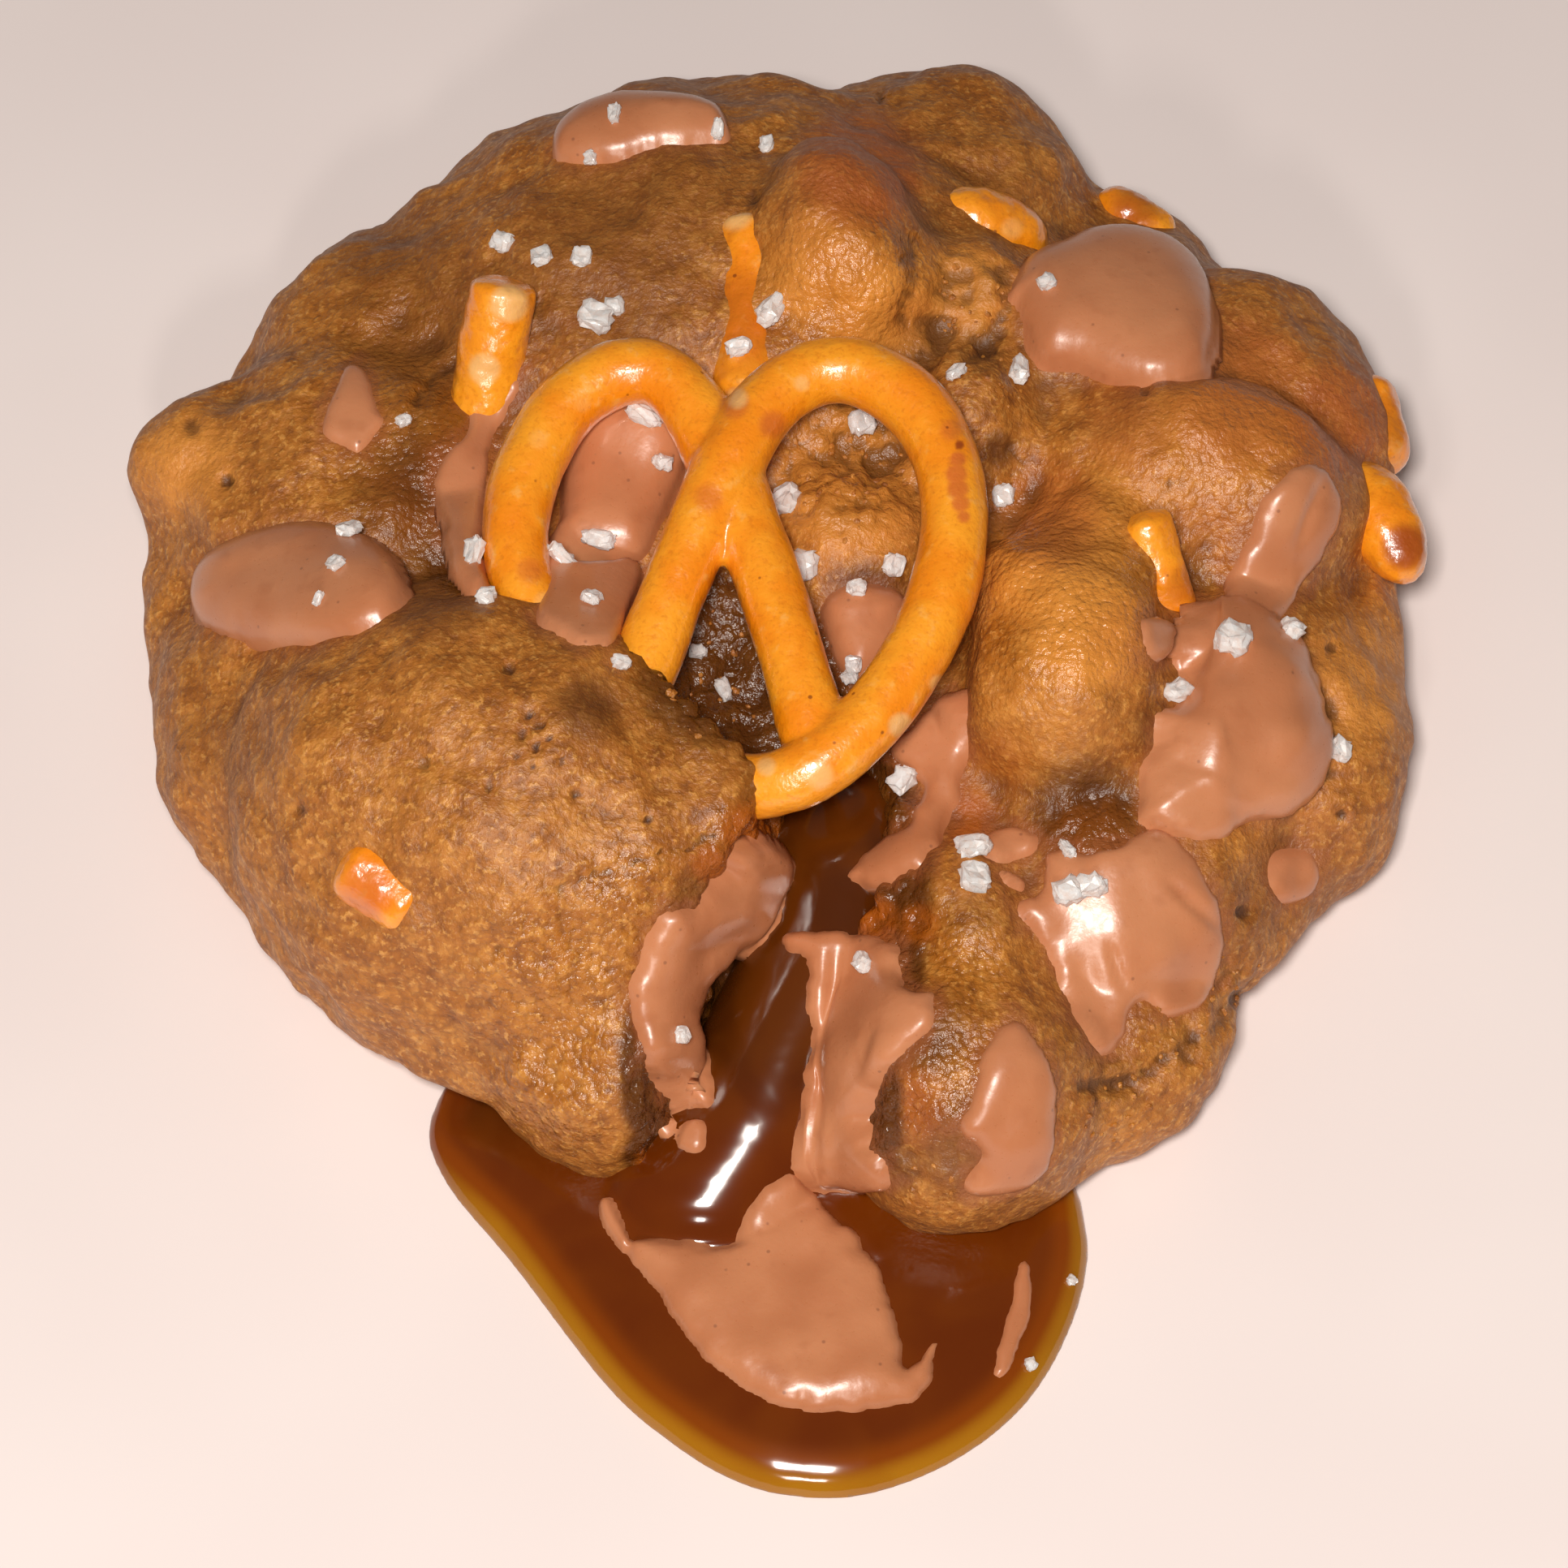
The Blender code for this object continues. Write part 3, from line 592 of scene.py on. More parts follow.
stand_on_table(caramel)
smooth_tree = search_tree(crust, caramel)
print("the caramel's height in mm:", round(points_of(caramel)[:, 2].max(), 1))

# %% [markdown]
# ## Where the dough was torn, soaked, toasted and pitted
# A baker sees these at a glance: torn walls show the open crumb, caramel soaks into the edges, the
# highest lumps toast red-brown, fat comes out in beads, and small bubbles burst into pits. Each
# becomes a number from 0 to 1 on every point of the crust. Painting them on an image would need
# an unwrapped surface. Numbers on the points need none, and they sit still when the view moves.


# %% Marks by distance
def marks(thing, spots):
    """How strongly each point is marked by round spots (u, v, radius, strength), as seen."""
    there = seen_at(points_of(thing))
    towards = np.array(EYE) - points_of(thing)
    towards /= np.linalg.norm(towards, axis=1)[:, None]
    facing = ramp((normals_of(thing) * towards).sum(1), -0.35, 0.15)
    made = np.zeros(len(there))
    for u, v, radius, strength in spots:
        gap = np.hypot(there[:, 0] - u, there[:, 1] - v) / radius
        made = np.maximum(made, strength * np.exp(-gap ** 4))
    return made * facing


def wall_distance(points, spots):
    """Distance of each point from the skin of the nearest of many balls."""
    nearest = np.full(len(points), np.inf)
    for centre, _, _, (radius, _, _) in spots:
        nearest = np.minimum(nearest, np.linalg.norm(points - np.array(centre), axis=1) - radius)
    return nearest


# Rough open crumb besides the tear: the lump in the right loop, the hollow below the pretzel,
# the crumb lump, and a few broken edges
OPEN_CRUMB = (
    (4.6, 21.5, 5.2, 0.9), (-4.8, 7.5, 5, 0.8), (12.2, 34.2, 2.6, 0.8), (14.8, 22, 2, 0.6),
    (-17, 31.5, 2.2, 0.5), (30, -2, 2, 0.3), (5.5, 5, 2.5, 0.7), (13.4, 30, 2, 0.9),
    (30.5, -14, 2.2, 0.7), (27.5, -17.5, 2, 0.7), (6.8, -3, 2, 0.5), (8, -26.5, 1.6, 0.5),
    (23, -20.6, 2.2, 0.7), (21, -2.6, 3.6, 0.6), (14, 34.5, 1.8, 0.8), (-9.4, -25.2, 1.4, 0.6),
    (37.2, 4, 1.4, 0.5), (-33, -14.5, 2, 0.4), (-28.5, -20, 2.4, 0.4), (11, 30.4, 2.4, 0.7),
)
points = points_of(crust)
from_tear = wall_distance(points, tear_spots)
store(crust, "torn", np.maximum((1 - ramp(from_tear, 0.6, 1.6)) * 0.6, marks(crust, OPEN_CRUMB)))
print("share of the crust near the tear:", round(float((from_tear < 1).mean()), 3))

# %% Roughen the crust
shape_with(
    crust, relief, wave_height=0.2, wave_size=4.5, grain_height=0.07, grain_size=2.0,
    crumb_height=0.7, crumb_size=1.3, seed=3.0,
)
# Two sizes of broad waves: the pitch in waves per mm, and the height in mm
BROAD_WAVES = ((0.16, 0.9), (0.45, 0.35))
waves = np.array([
    sum(noise.noise(Vector(point) * pitch) * height for pitch, height in BROAD_WAVES)
    for point in points
])
# They fade out at the table
waves *= ramp(points[:, 2], 0, 1)
move_points(crust, points_of(crust) + normals_of(crust) * waves[:, None])
crust_top = points_of(crust)[:, 2].max()
print("crust:", len(crust.data.polygons), "faces, top at", round(crust_top, 1), "mm")

# %% Prick the pits, open the cracks, then measure the hollows
PITS = (
    (-40.6, 24.6, 0.8, 0.6), (-38.2, 20.8, 0.5, 0.8), (-18.8, 8, 0.45, 0.7),
    (-17.4, 4.8, 0.35, 0.9), (-16.8, 4, 0.3, 0.9), (-17.8, 3.4, 0.3, 0.8), (-17, 2.6, 0.35, 0.9),
    (-16.2, 3.2, 0.25, 0.8), (-18.2, 1.8, 0.3, 0.7), (-17.2, 1.2, 0.25, 0.8),
    (-20.2, -0.2, 0.35, 0.6), (-14.2, -0.8, 0.35, 0.8), (-15.2, 1.6, 0.35, 0.6),
    (-24.6, 1.4, 0.4, 0.5), (-9.2, -2.4, 0.4, 0.9), (-33.2, -1.8, 0.4, 0.5),
    (-19.6, -11.4, 0.35, 0.4), (-2.2, 40.2, 0.5, 0.5), (6.6, 47, 0.4, 0.5), (26.4, 20.6, 0.4, 0.4),
    (37.6, 9.4, 0.5, 0.6), (38.2, -2.2, 0.5, 0.7), (31.6, -8.8, 0.6, 0.7), (24.6, 27, 0.4, 0.5),
)
# Cracks as seen: the corners of the line, and its half width
CRACKS = (
    (((-15.3, -7.2), (-11.4, -5.8), (-7.6, -4.7), (-4.8, -3.6)), 0.22),
    (((20.8, -20.8), (24.1, -20.2), (26.3, -18.6), (29.7, -16.9), (31.9, -14.1)), 0.4),
    (((36.9, 6.6), (37.7, 3.5), (37.3, 0.5)), 0.4),
    (((15.1, 35.2), (15, 32.6), (14.4, 30.2), (12.4, 29.4)), 0.4),
    (((-25.6, 24.6), (-24.2, 27.6), (-21.8, 29.8)), 0.3),
    (((8.7, 37.4), (8.8, 34.2), (8.2, 31)), 0.35),
)
CRACK_STEP = 0.25
PRICK_DEPTH = 0.7

draw = random.Random(11)
openings = list(PITS)
for corners, half_width in CRACKS:
    for start, end in zip(corners, corners[1:]):
        for step in range(int(math.dist(start, end) / CRACK_STEP)):
            spot = Vector(start).lerp(Vector(end), step * CRACK_STEP / math.dist(start, end))
            u, v = spot.x + draw.uniform(-0.3, 0.3), spot.y + draw.uniform(-0.3, 0.3)
            openings.append((u, v, half_width * draw.uniform(0.9, 1.8), draw.uniform(0.2, 0.6)))
pricks = marks(crust, openings)
move_points(crust, points_of(crust) - normals_of(crust) * (pricks * PRICK_DEPTH)[:, None])
# Painted shade: the pit number darkens the pits and cracks
store(crust, "pit", pricks)
print("pits:", len(PITS), "and pricks along the cracks:", len(openings) - len(PITS))
# Painted shade: the crease number darkens the crust's creases
shape_with(crust, hollows, rounds=90, name="crease")
# Painted shade: the pore number darkens the crust's small hollows
shape_with(crust, hollows, rounds=6, name="pore")
keep_largest(stand_on_table(crust))
rough_tree = search_tree(crust, caramel)
print("the crust's box in mm:", points_of(crust).min(0).round(1), points_of(crust).max(0).round(1))

# %% [markdown]
# ## Chocolate that lies on the crust
# Some chips kept the shape of a low dome, others melted into films with ragged, tapering outlines.
# Both are laid the same way, like poured icing: a fine sheet of points is dropped along the sight
# lines on to the rough crust, evened out, and raised by how far each point lies inside the outline.
# Outside it the sheet dives below the crust, so the rough dough itself draws the visible edge.

# %% Chips that kept their shape: rounds of evening, then thickness, shoulder width and outline
CHIPS = {
    "chocolate_disc_left": (160, ((2.5, 3.4, (
        (-40.3, 12.8), (-39.8, 14.8), (-38.4, 16.4), (-35.9, 17.4), (-32.6, 18), (-29.8, 17.3),
        (-27.6, 16.2), (-26.4, 14.8), (-26.1, 13.2), (-26.7, 11.7), (-28.1, 10.6), (-29.8, 9.9),
        (-32.6, 9.5), (-36.4, 9.5), (-38.9, 10.3), (-40.1, 11.4))),)),
    "chocolate_disc_right": (160, ((2.3, 3.4, (
        (15.4, 33.4), (16.6, 35.8), (18.9, 36.8), (21.4, 37.8), (23.9, 37.9), (26.7, 36.8),
        (28.7, 34.7), (29.5, 31.7), (29.1, 29.6), (28.2, 28.3), (25.1, 27.3), (22.1, 27.5),
        (20.3, 28.3), (17.6, 28.9), (16.6, 30.9), (15.9, 32.6))),)),
    "chocolate_disc_back": (120, ((2, 2.4, (
        (-15.7, 42.7), (-15.6, 44.4), (-13.8, 46.1), (-10.9, 47.1), (-7.3, 46.9), (-4.6, 46.1),
        (-3.8, 44.7), (-4, 43.9), (-5.9, 43.8), (-9.3, 43.2), (-11.7, 42.4), (-14.4, 42.2))),)),
    "chocolate_disc_left_loop": (140, ((2.2, 3, (
        (-15.3, 18.1), (-15.7, 17), (-14.8, 16), (-12.6, 15.2), (-10.3, 15.1), (-9.2, 15.9),
        (-8, 18.7), (-6.7, 22), (-6.4, 24.2), (-7.6, 26.2), (-9.8, 27), (-12.3, 26.7),
        (-13.9, 25.6), (-14.8, 23.4))),)),
    "chocolate_chip_right_loop": (100, ((1.8, 2.2, (
        (2.6, 11.4), (3, 12.8), (4.7, 13.7), (7.2, 13.4), (8.3, 12.3), (8.1, 9.8), (6.6, 7.6),
        (4.7, 6.7), (3.3, 8.7))),)),
    "chocolate_chip_left": (20, ((0.5, 1, (
        (-31.5, 23.9), (-31.4, 25.3), (-30.6, 27.2), (-29.9, 28.6), (-28.6, 28.2), (-27.8, 25.6),
        (-27.4, 24.8), (-28.4, 23.4), (-29.2, 22.6), (-30.1, 23.1))),)),
    "chocolate_chip_right": (20, ((0.6, 1.2, (
        (33.6, -5.5), (34.4, -4.7), (36.1, -4.8), (36.6, -6.3), (35.8, -7.7), (34.1, -8.1),
        (33.3, -6.9))),)),
}
print("chips:", len(CHIPS))

# %% Chocolate that melted and ran, given the same way
FILMS = {
    "chocolate_smear_right": (16, (
        (2.3, 4.6, (
            (33.7, 10.9), (35.4, 9.2), (36.8, 5.1), (37.2, 2.4), (36.6, -0.2), (34.8, -1.8),
            (31.4, -2.7), (29.7, -3.8), (27.4, -3.7), (24.7, -2.9), (24.4, -1.6), (24.5, 1.1),
            (25.6, 2.9), (25.6, 4.7), (27.2, 5.6), (27.8, 7.8), (27.8, 10.1), (28.6, 12),
            (31, 12.6))),
        (0.7, 1.2, (
            (33.9, 21), (36.3, 21.9), (37.9, 20.3), (38.1, 18.3), (36.6, 15.4), (35, 13.2),
            (33.9, 11.2), (31, 9.5), (28.6, 11), (28.4, 12.4), (30.1, 12.5), (30.8, 15.2),
            (31.7, 16.7), (32.6, 19))),
        (0.4, 0.6, ((24.6, 11.4), (26.6, 10.9), (26.4, 9), (25.2, 8.4), (24.4, 9.8))))),
    "chocolate_smear_apron": (9, ((0.75, 1.5, (
        (18, -4.6), (20.8, -4.7), (23, -4.4), (25.2, -3.1), (27.7, -4.7), (29.4, -7.7),
        (30, -10.2), (29.6, -13), (28.4, -15.3), (26.2, -15.9), (25, -14.8), (23.8, -15.5),
        (22.8, -18.2), (21.4, -18.1), (19.6, -15), (18, -11.3), (16.4, -9.2), (16.2, -8.1),
        (17.8, -7.4), (18, -6))),)),
    "chocolate_smear_apron_top": (9, (
        (0.6, 0.8, (
            (13.4, -4.2), (14.4, -3.2), (16.4, -3.1), (17.4, -4), (16.6, -5), (14.6, -5.3))),
        (0.4, 0.5, ((14.7, -5.9), (16.3, -6.5), (16.4, -7.3), (15, -6.7))))),
    "chocolate_smear_under_tip": (12, ((0.8, 1.2, (
        (10.2, 5.3), (7.4, 2.3), (8.6, 0.9), (9.7, -0.2), (8.8, -1.9), (8.6, -3), (6.6, -4.1),
        (5.2, -5.5), (4.4, -6.3), (5.8, -6.9), (7.4, -6.6), (9.4, -5.5), (10.2, -4.4), (10.8, -2.7),
        (11.9, -1.1), (12.2, 0.9), (12.4, 3.7), (11.6, 5.9))),)),
    "chocolate_smear_left_loop": (9, ((0.5, 0.8, (
        (-16.3, 16.6), (-14.8, 15.3), (-11.4, 15.3), (-9.8, 14.8), (-10.6, 12.3), (-11.4, 10.3),
        (-12.3, 9.3), (-14.8, 9.8), (-16.7, 11.2), (-16.3, 13.7))),)),
    "chocolate_smear_stub": (9, ((0.4, 0.7, (
        (-19.8, 29.2), (-18.1, 27.6), (-18.8, 25.9), (-20.1, 23.4), (-20.3, 20.3), (-20.9, 17),
        (-20.6, 13.7), (-22.6, 15.3), (-23.2, 18.1), (-23.9, 20.9), (-23.1, 22.6), (-21.7, 24.2),
        (-21.4, 26.4))),)),
    "chocolate_tear_left": (14, (
        (1.2, 2, (
            (-1.7, -4.2), (-0.1, -4.7), (0.6, -5.9), (0.1, -7.7), (-0.6, -9.7), (-1.7, -10.8),
            (-3.4, -11.6), (-4.5, -13), (-5.8, -14.8), (-5.9, -16.4), (-5.4, -18.6),
            (-4.9, -20.8), (-5.2, -22.2), (-7, -21.8), (-8.6, -20.2), (-9.5, -18.6),
            (-10.2, -16.4), (-10.6, -14.8), (-10.1, -12.4), (-9.2, -10.2), (-8.1, -8.7),
            (-6.4, -8.3), (-5.2, -7.2), (-3.9, -6.1), (-3.4, -4.9))),
        (0.5, 0.6, ((-7, -23.4), (-5.6, -23), (-5.3, -24.2), (-6, -25.2), (-7.2, -24.8))))),
    "chocolate_tear_right": (12, ((0.9, 1.2, (
        (0.2, -10.3), (4, -10.2), (7.6, -11), (8.3, -14), (10.3, -14.4), (9.9, -16.8),
        (6.8, -19.9), (5.1, -22.3), (5.4, -23.8), (6.9, -26.1), (7.2, -27.8), (4.1, -27.7),
        (2.2, -28), (0.5, -26.3), (1.1, -23), (1.3, -20.2), (1.9, -18), (1.5, -15.2),
        (1.6, -12), (0.2, -11.4))),)),
    "chocolate_front_lobe": (12, ((0.9, 1.6, (
        (13.8, -18.2), (15.7, -16), (17.6, -18.2), (18.4, -21), (18.4, -24.6), (16.8, -27.4),
        (13.8, -28.2), (12.1, -27.4), (13.8, -25.2), (11.9, -23.6), (13, -21.3))),)),
    "chocolate_pool": (16, (
        (1.2, 2.6, (
            (0.4, -26.8), (2.8, -29.1), (5.8, -32.1), (7.9, -37.6), (8.4, -40.1), (10.2, -38.3),
            (10.4, -38.9), (9.2, -42), (4.6, -42.9), (1.6, -42.9), (-1.5, -42), (-4.3, -40.3),
            (-7, -37.3), (-8.8, -34.6), (-10.7, -31.7), (-8.4, -31.1), (-3.7, -31.7),
            (-3.2, -30.6), (-1.8, -28.2))),
        (0.7, 0.6, ((-12.6, -28.9), (-11.9, -28.4), (-11.3, -29.6), (-10.4, -31.4), (-11, -32),
                    (-12.2, -30.4))))),
    "chocolate_streak_pool": (9, ((0.35, 0.4, (
        (16, -32.8), (16.9, -33.1), (16.9, -35.5), (16.2, -38), (15.2, -40.4), (14.4, -40.4),
        (14.8, -38.2), (15.6, -35.6))),)),
}
# Creases in the films: start, end, depth and width
FOLDS = {
    "chocolate_tear_right": (
        ((3.6, -11.2), (3, -17.6), 0.45, 0.55), ((3, -17.6), (2.2, -27), 0.45, 0.5),
        ((7, -16.5), (5.2, -20.6), 0.25, 0.4)),
    "chocolate_smear_apron": (
        ((22.2, -10.8), (23.2, -14), 0.35, 0.3), ((26, -6.8), (29.6, -9.9), 0.4, 0.35)),
    "chocolate_smear_right": (((36.5, 20.8), (34.8, 16.5), 0.35, 0.35),),
    "chocolate_tear_left": (((-2, -8.6), (-6.4, -11.6), 0.2, 0.6),),
}
print("films:", len(FILMS), "with", sum(map(len, FOLDS.values())), "folds")


# %% How far inside an outline, and how high the chocolate stands there
def inside_of(outline, spots):
    """How far inside a closed outline each spot lies; negative outside."""
    corners = np.array(closed_curve(outline, 3))
    nearest = np.full(len(spots), np.inf)
    within = np.zeros(len(spots), bool)
    for start, end in zip(corners, np.roll(corners, -1, 0)):
        nearest = np.minimum(nearest, off_segment(spots, start, end)[1])
        wide, high = end - start
        if high:
            crossing = start[0] + (spots[:, 1] - start[1]) / high * wide
            between = (start[1] > spots[:, 1]) != (end[1] > spots[:, 1])
            within ^= between & (spots[:, 0] < crossing)
    return np.where(within, nearest, -nearest)


# How steeply the sheet dives outside its outline
DIVE = 1.5


def rise_over_crust(inside, thickness, shoulder):
    share = np.clip(inside / shoulder, 0, 1)
    return np.where(inside > 0, thickness * np.sqrt(1 - (1 - share) ** 2), DIVE * inside)


print("rise at 0, 1 and 3 mm inside:", rise_over_crust(np.array([0, 1, 3]), 2.0, 3.4).round(2))

# %% Lay a sheet of chocolate on the crust
SHEET_STEP = 0.28
SHEET_MARGIN = 0.8
UNDER_THE_SHEET = 0.9
# A sheet bridges what falls away more steeply than this, as thick chocolate does
STEEPEST = 1.6
BRIDGING = 24
# Films have a ragged edge and an uneven top, chips hardly any; the teeth are in waves per mm
FILM_RAGGED, CHIP_RAGGED = 0.3, 0.06
BROAD_TEETH, FINE_TEETH, SWELLS = 0.7, 2, 0.33


def fall_on_crust(rows, columns, evening):
    """Points of a grid dropped on the crust along the sight lines, bridged and evened out."""
    lines = np.array([[sight_line(u, v) for u in columns] for v in rows])
    reach = np.full(lines.shape[:2], 2.0 * EYE_DISTANCE)
    for i, j in np.ndindex(reach.shape):
        distance = rough_tree.ray_cast(EYE, lines[i, j])[3]
        reach[i, j] = distance or reach[i, j]
    for _ in range(BRIDGING):
        for grid in (reach, reach.T):
            for near, far in ((grid[1:], grid[:-1]), (grid[:-1], grid[1:])):
                near[...] = np.minimum(near, far + STEEPEST * SHEET_STEP)
    for _ in range(evening):
        wide = np.pad(reach, 1, mode="edge")
        beside = wide[:-2, 1:-1] + wide[2:, 1:-1] + wide[1:-1, :-2] + wide[1:-1, 2:]
        reach = (beside + 2 * reach) / 6
    return np.array(EYE) + lines * reach[..., None]


def lay_sheet(name, evening, ragged_edge, patches, folds):
    """Chocolate poured on the crust inside the outlines of its patches."""
    corners = np.concatenate([outline for _, _, outline in patches])
    low, high = corners.min(0) - 2 * SHEET_MARGIN, corners.max(0) + 2 * SHEET_MARGIN
    columns, rows = (np.arange(low[i], high[i], SHEET_STEP) for i in (0, 1))
    ground = fall_on_crust(rows, columns, evening)
    outwards = np.cross(np.gradient(ground, axis=1), np.gradient(ground, axis=0))
    outwards /= np.linalg.norm(outwards, axis=2)[..., None]
    spots = np.stack(np.meshgrid(columns, rows), 2).reshape(-1, 2)
    broad, fine, swell = (
        np.array([noise.noise(Vector((u * pitch, v * pitch, level))) for u, v in spots])
        for pitch, level in ((BROAD_TEETH, evening), (FINE_TEETH, evening), (SWELLS, 7))
    )
    ragged = broad + 0.3 * fine
    insides = [inside_of(outline, spots) + ragged * ragged_edge for _, _, outline in patches]
    rises = [rise_over_crust(far_in, *patch[:2]) for far_in, patch in zip(insides, patches)]
    inside, rise = np.max(insides, axis=0), np.max(rises, axis=0)
    rise = rise * (1 + 0.8 * ragged_edge * swell)
    for start, end, fold_depth, width in folds:
        share, gap = off_segment(spots, start, end)
        fading = np.sin(math.pi * (0.1 + 0.8 * share))
        rise = rise - fold_depth * np.exp(-(gap / width) ** 2) * fading
    surface = ground.reshape(-1, 3) + outwards.reshape(-1, 3) * rise[:, None]
    kept = (inside > -SHEET_MARGIN).reshape(len(rows), len(columns))
    faces = []
    for i, j in np.argwhere(kept[:-1, :-1] & kept[1:, :-1] & kept[:-1, 1:] & kept[1:, 1:]):
        corner = int(i * len(columns) + j)
        faces.append((corner, corner + 1, corner + len(columns) + 1, corner + len(columns)))
    mesh = bpy.data.meshes.new(name)
    mesh.from_pydata(surface.tolist(), [], faces)
    bm = bmesh.new()
    bm.from_mesh(mesh)
    bmesh.ops.delete(bm, geom=[vert for vert in bm.verts if not vert.link_faces], context="VERTS")
    bm.to_mesh(mesh)
    bm.free()
    thing = new_object(name, mesh)
    thicken = thing.modifiers.new("Underside", "SOLIDIFY")
    thicken.thickness = UNDER_THE_SHEET
    thicken.offset = -1
    return keep_result(thing)


chips = {
    name: lay_sheet("soft_" + name, evening, CHIP_RAGGED, patches, ())
    for name, (evening, patches) in CHIPS.items()
}
films = {
    name: lay_sheet("melted_" + name, evening, FILM_RAGGED, patches, FOLDS.get(name, ()))
    for name, (evening, patches) in FILMS.items()
}
print("faces:", {name: len(thing.data.polygons) for name, thing in {**chips, **films}.items()})

# %% [markdown]
# ## Rope of pretzel dough
# A pretzel is one rope, so the rule is a round profile swept along a path. Geometry Nodes does the
# sweep: it resamples the path, lets the rope swell a little along its length, and rounds its two
# ends. The same tree makes the mini pretzel and the short broken pieces.

# %% The tree that sweeps a rope
rope, given = shaping_tree(
    "Rope of dough",
    {"Geometry": "Geometry", "Radius": "Float", "Swelling": "Float", "End length": "Float",
     "Step": "Float", "Seed": "Float"},
)
path = add(
    rope, "GeometryNodeResampleCurve",
    {"Curve": given["Geometry"], "Length": given["Step"]}, mode="LENGTH",
)
along = add(rope, "GeometryNodeSplineParameter").outputs["Length"]
whole = add(rope, "GeometryNodeSplineLength").outputs["Length"]
rest = add(rope, "ShaderNodeMath", {0: whole, 1: along}, operation="SUBTRACT")
near_end = add(rope, "ShaderNodeMath", {0: along, 1: rest}, operation="MINIMUM")
share = add(
    rope, "ShaderNodeMath", {0: near_end, 1: given["End length"]}, operation="DIVIDE",
    use_clamp=True,
)
# A quarter circle: the root of 1 minus the square of what is missing to a full end length
round_end = share
for operation, first, second in (
    ("SUBTRACT", 1.0, None), ("POWER", None, 2.0), ("SUBTRACT", 1.0, None), ("POWER", None, 0.5),
    ("MAXIMUM", None, 0.02),
):
    values = {0: round_end if first is None else first, 1: round_end if second is None else second}
    round_end = add(rope, "ShaderNodeMath", values, operation=operation)
swell = add(
    rope, "ShaderNodeTexNoise", {"Scale": 0.16, "W": given["Seed"], "Detail": 0.0},
    noise_dimensions="4D",
)
swell = add(rope, "ShaderNodeMath", {0: swell, 1: 0.5}, operation="SUBTRACT")
swell = add(
    rope, "ShaderNodeMath", {0: swell, 1: given["Swelling"], 2: 1.0}, operation="MULTIPLY_ADD"
)
width = add(rope, "ShaderNodeMath", {0: given["Radius"], 1: swell}, operation="MULTIPLY")
width = add(rope, "ShaderNodeMath", {0: width, 1: round_end}, operation="MULTIPLY")
profile = add(rope, "GeometryNodeCurvePrimitiveCircle", {"Resolution": 36, "Radius": 1.0})
swept = add(
    rope, "GeometryNodeCurveToMesh",
    {"Curve": path, "Profile Curve": profile, "Scale": width, "Fill Caps": True},
)
real = add(rope, "GeometryNodeRealizeInstances", {"Geometry": swept})
add(rope, "NodeGroupOutput", {"Geometry": real})
print("nodes in the tree:", len(rope.nodes))


# %% Sweep a rope along a path
def sweep(name, path_points, smooth_path=False, **values):
    """A rope along a path: a curve in, a mesh out."""
    data = bpy.data.curves.new(name, "CURVE")
    data.dimensions = "3D"
    spline = data.splines.new("NURBS" if smooth_path else "POLY")
    spline.points.add(len(path_points) - 1)
    for knot, point in zip(spline.points, path_points):
        knot.co = (*point, 1)
    if smooth_path:
        spline.order_u = 3
        spline.use_endpoint_u = True
    data.resolution_u = 8
    curve = new_object(name + "_path", data)
    run_tree(curve, rope, values)
    mesh = made_mesh(curve)
    bpy.data.objects.remove(curve)
    return new_object(name, mesh)


trial = sweep(
    "trial", [(0, 0, 0), (0, 0, 10)], radius=2.0, swelling=0.0, end_length=1.0, step=0.5, seed=0.0
)
print("a straight rope of 10 mm has", len(trial.data.polygons), "faces")
bpy.data.objects.remove(trial)

# %% [markdown]
# ## The mini pretzel
# The rope lies in two loops with its ends crossed and pressed on the lower bend. Its points are
# given as seen, on a tilted plane that rests on the lumps. Melting it with a fine voxel keeps a
# clear crease where the strands cross. The relief tree then adds low blisters.

# %% The rope's middle line, as seen, with its height over the pretzel's plane
ROPE = (
    (2.4, 2.0, -0.6), (0.3, 10.2, 0), (-3.6, 20.8, -0.4), (-6.4, 26.6, -0.2), (-9.8, 28.9, 0),
    (-15.0, 26.4, 0), (-18.3, 20.2, 0), (-18.5, 14.6, 0), (-15.0, 6.6, -0.8), (-9.0, 2.6, -2.4),
    (-3.4, 0.2, -1.6), (1.9, 0.5, 0), (7.4, 5.8, 0), (11.3, 13.2, 0), (11.9, 20.4, 0),
    (9.4, 26.0, 0), (4.3, 28.9, 0), (-0.6, 26.9, 0.4), (-3.8, 21.6, 0.9), (-7.9, 12.5, 0),
    (-11.4, 3.6, -0.6),
)
ROPE_RADIUS = 2.25
ROPE_VOXEL, ROPE_SOFTENING = 0.27, 4
PRETZEL_MIDDLE = Vector((-2.6, -7.6, 21.8))
PRETZEL_TILT = math.radians(7)
PRETZEL_ROLL = math.radians(5)


def on_pretzel_plane(u, v, height):
    normal = Vector((-math.tan(PRETZEL_ROLL), -math.tan(PRETZEL_TILT), 1)).normalized()
    direction = sight_line(u, v)
    reach = (PRETZEL_MIDDLE - EYE).dot(normal) / direction.dot(normal)
    return EYE + direction * reach + normal * height


pretzel = sweep(
    "mini_pretzel", [on_pretzel_plane(*place) for place in ROPE], smooth_path=True,
    radius=ROPE_RADIUS, swelling=0.12, end_length=2.0, step=0.3, seed=5.0,
)
melt(pretzel, ROPE_VOXEL, ROPE_SOFTENING)
shape_with(
    pretzel, relief, wave_height=0.14, wave_size=3.0, grain_height=0.03, grain_size=0.7,
    crumb_height=0.0, crumb_size=1.0, seed=8.0,
)
pretzel_size = np.ptp(points_of(pretzel), 0).round(1)
print("mini pretzel:", len(pretzel.data.polygons), "faces,", pretzel_size, "mm")

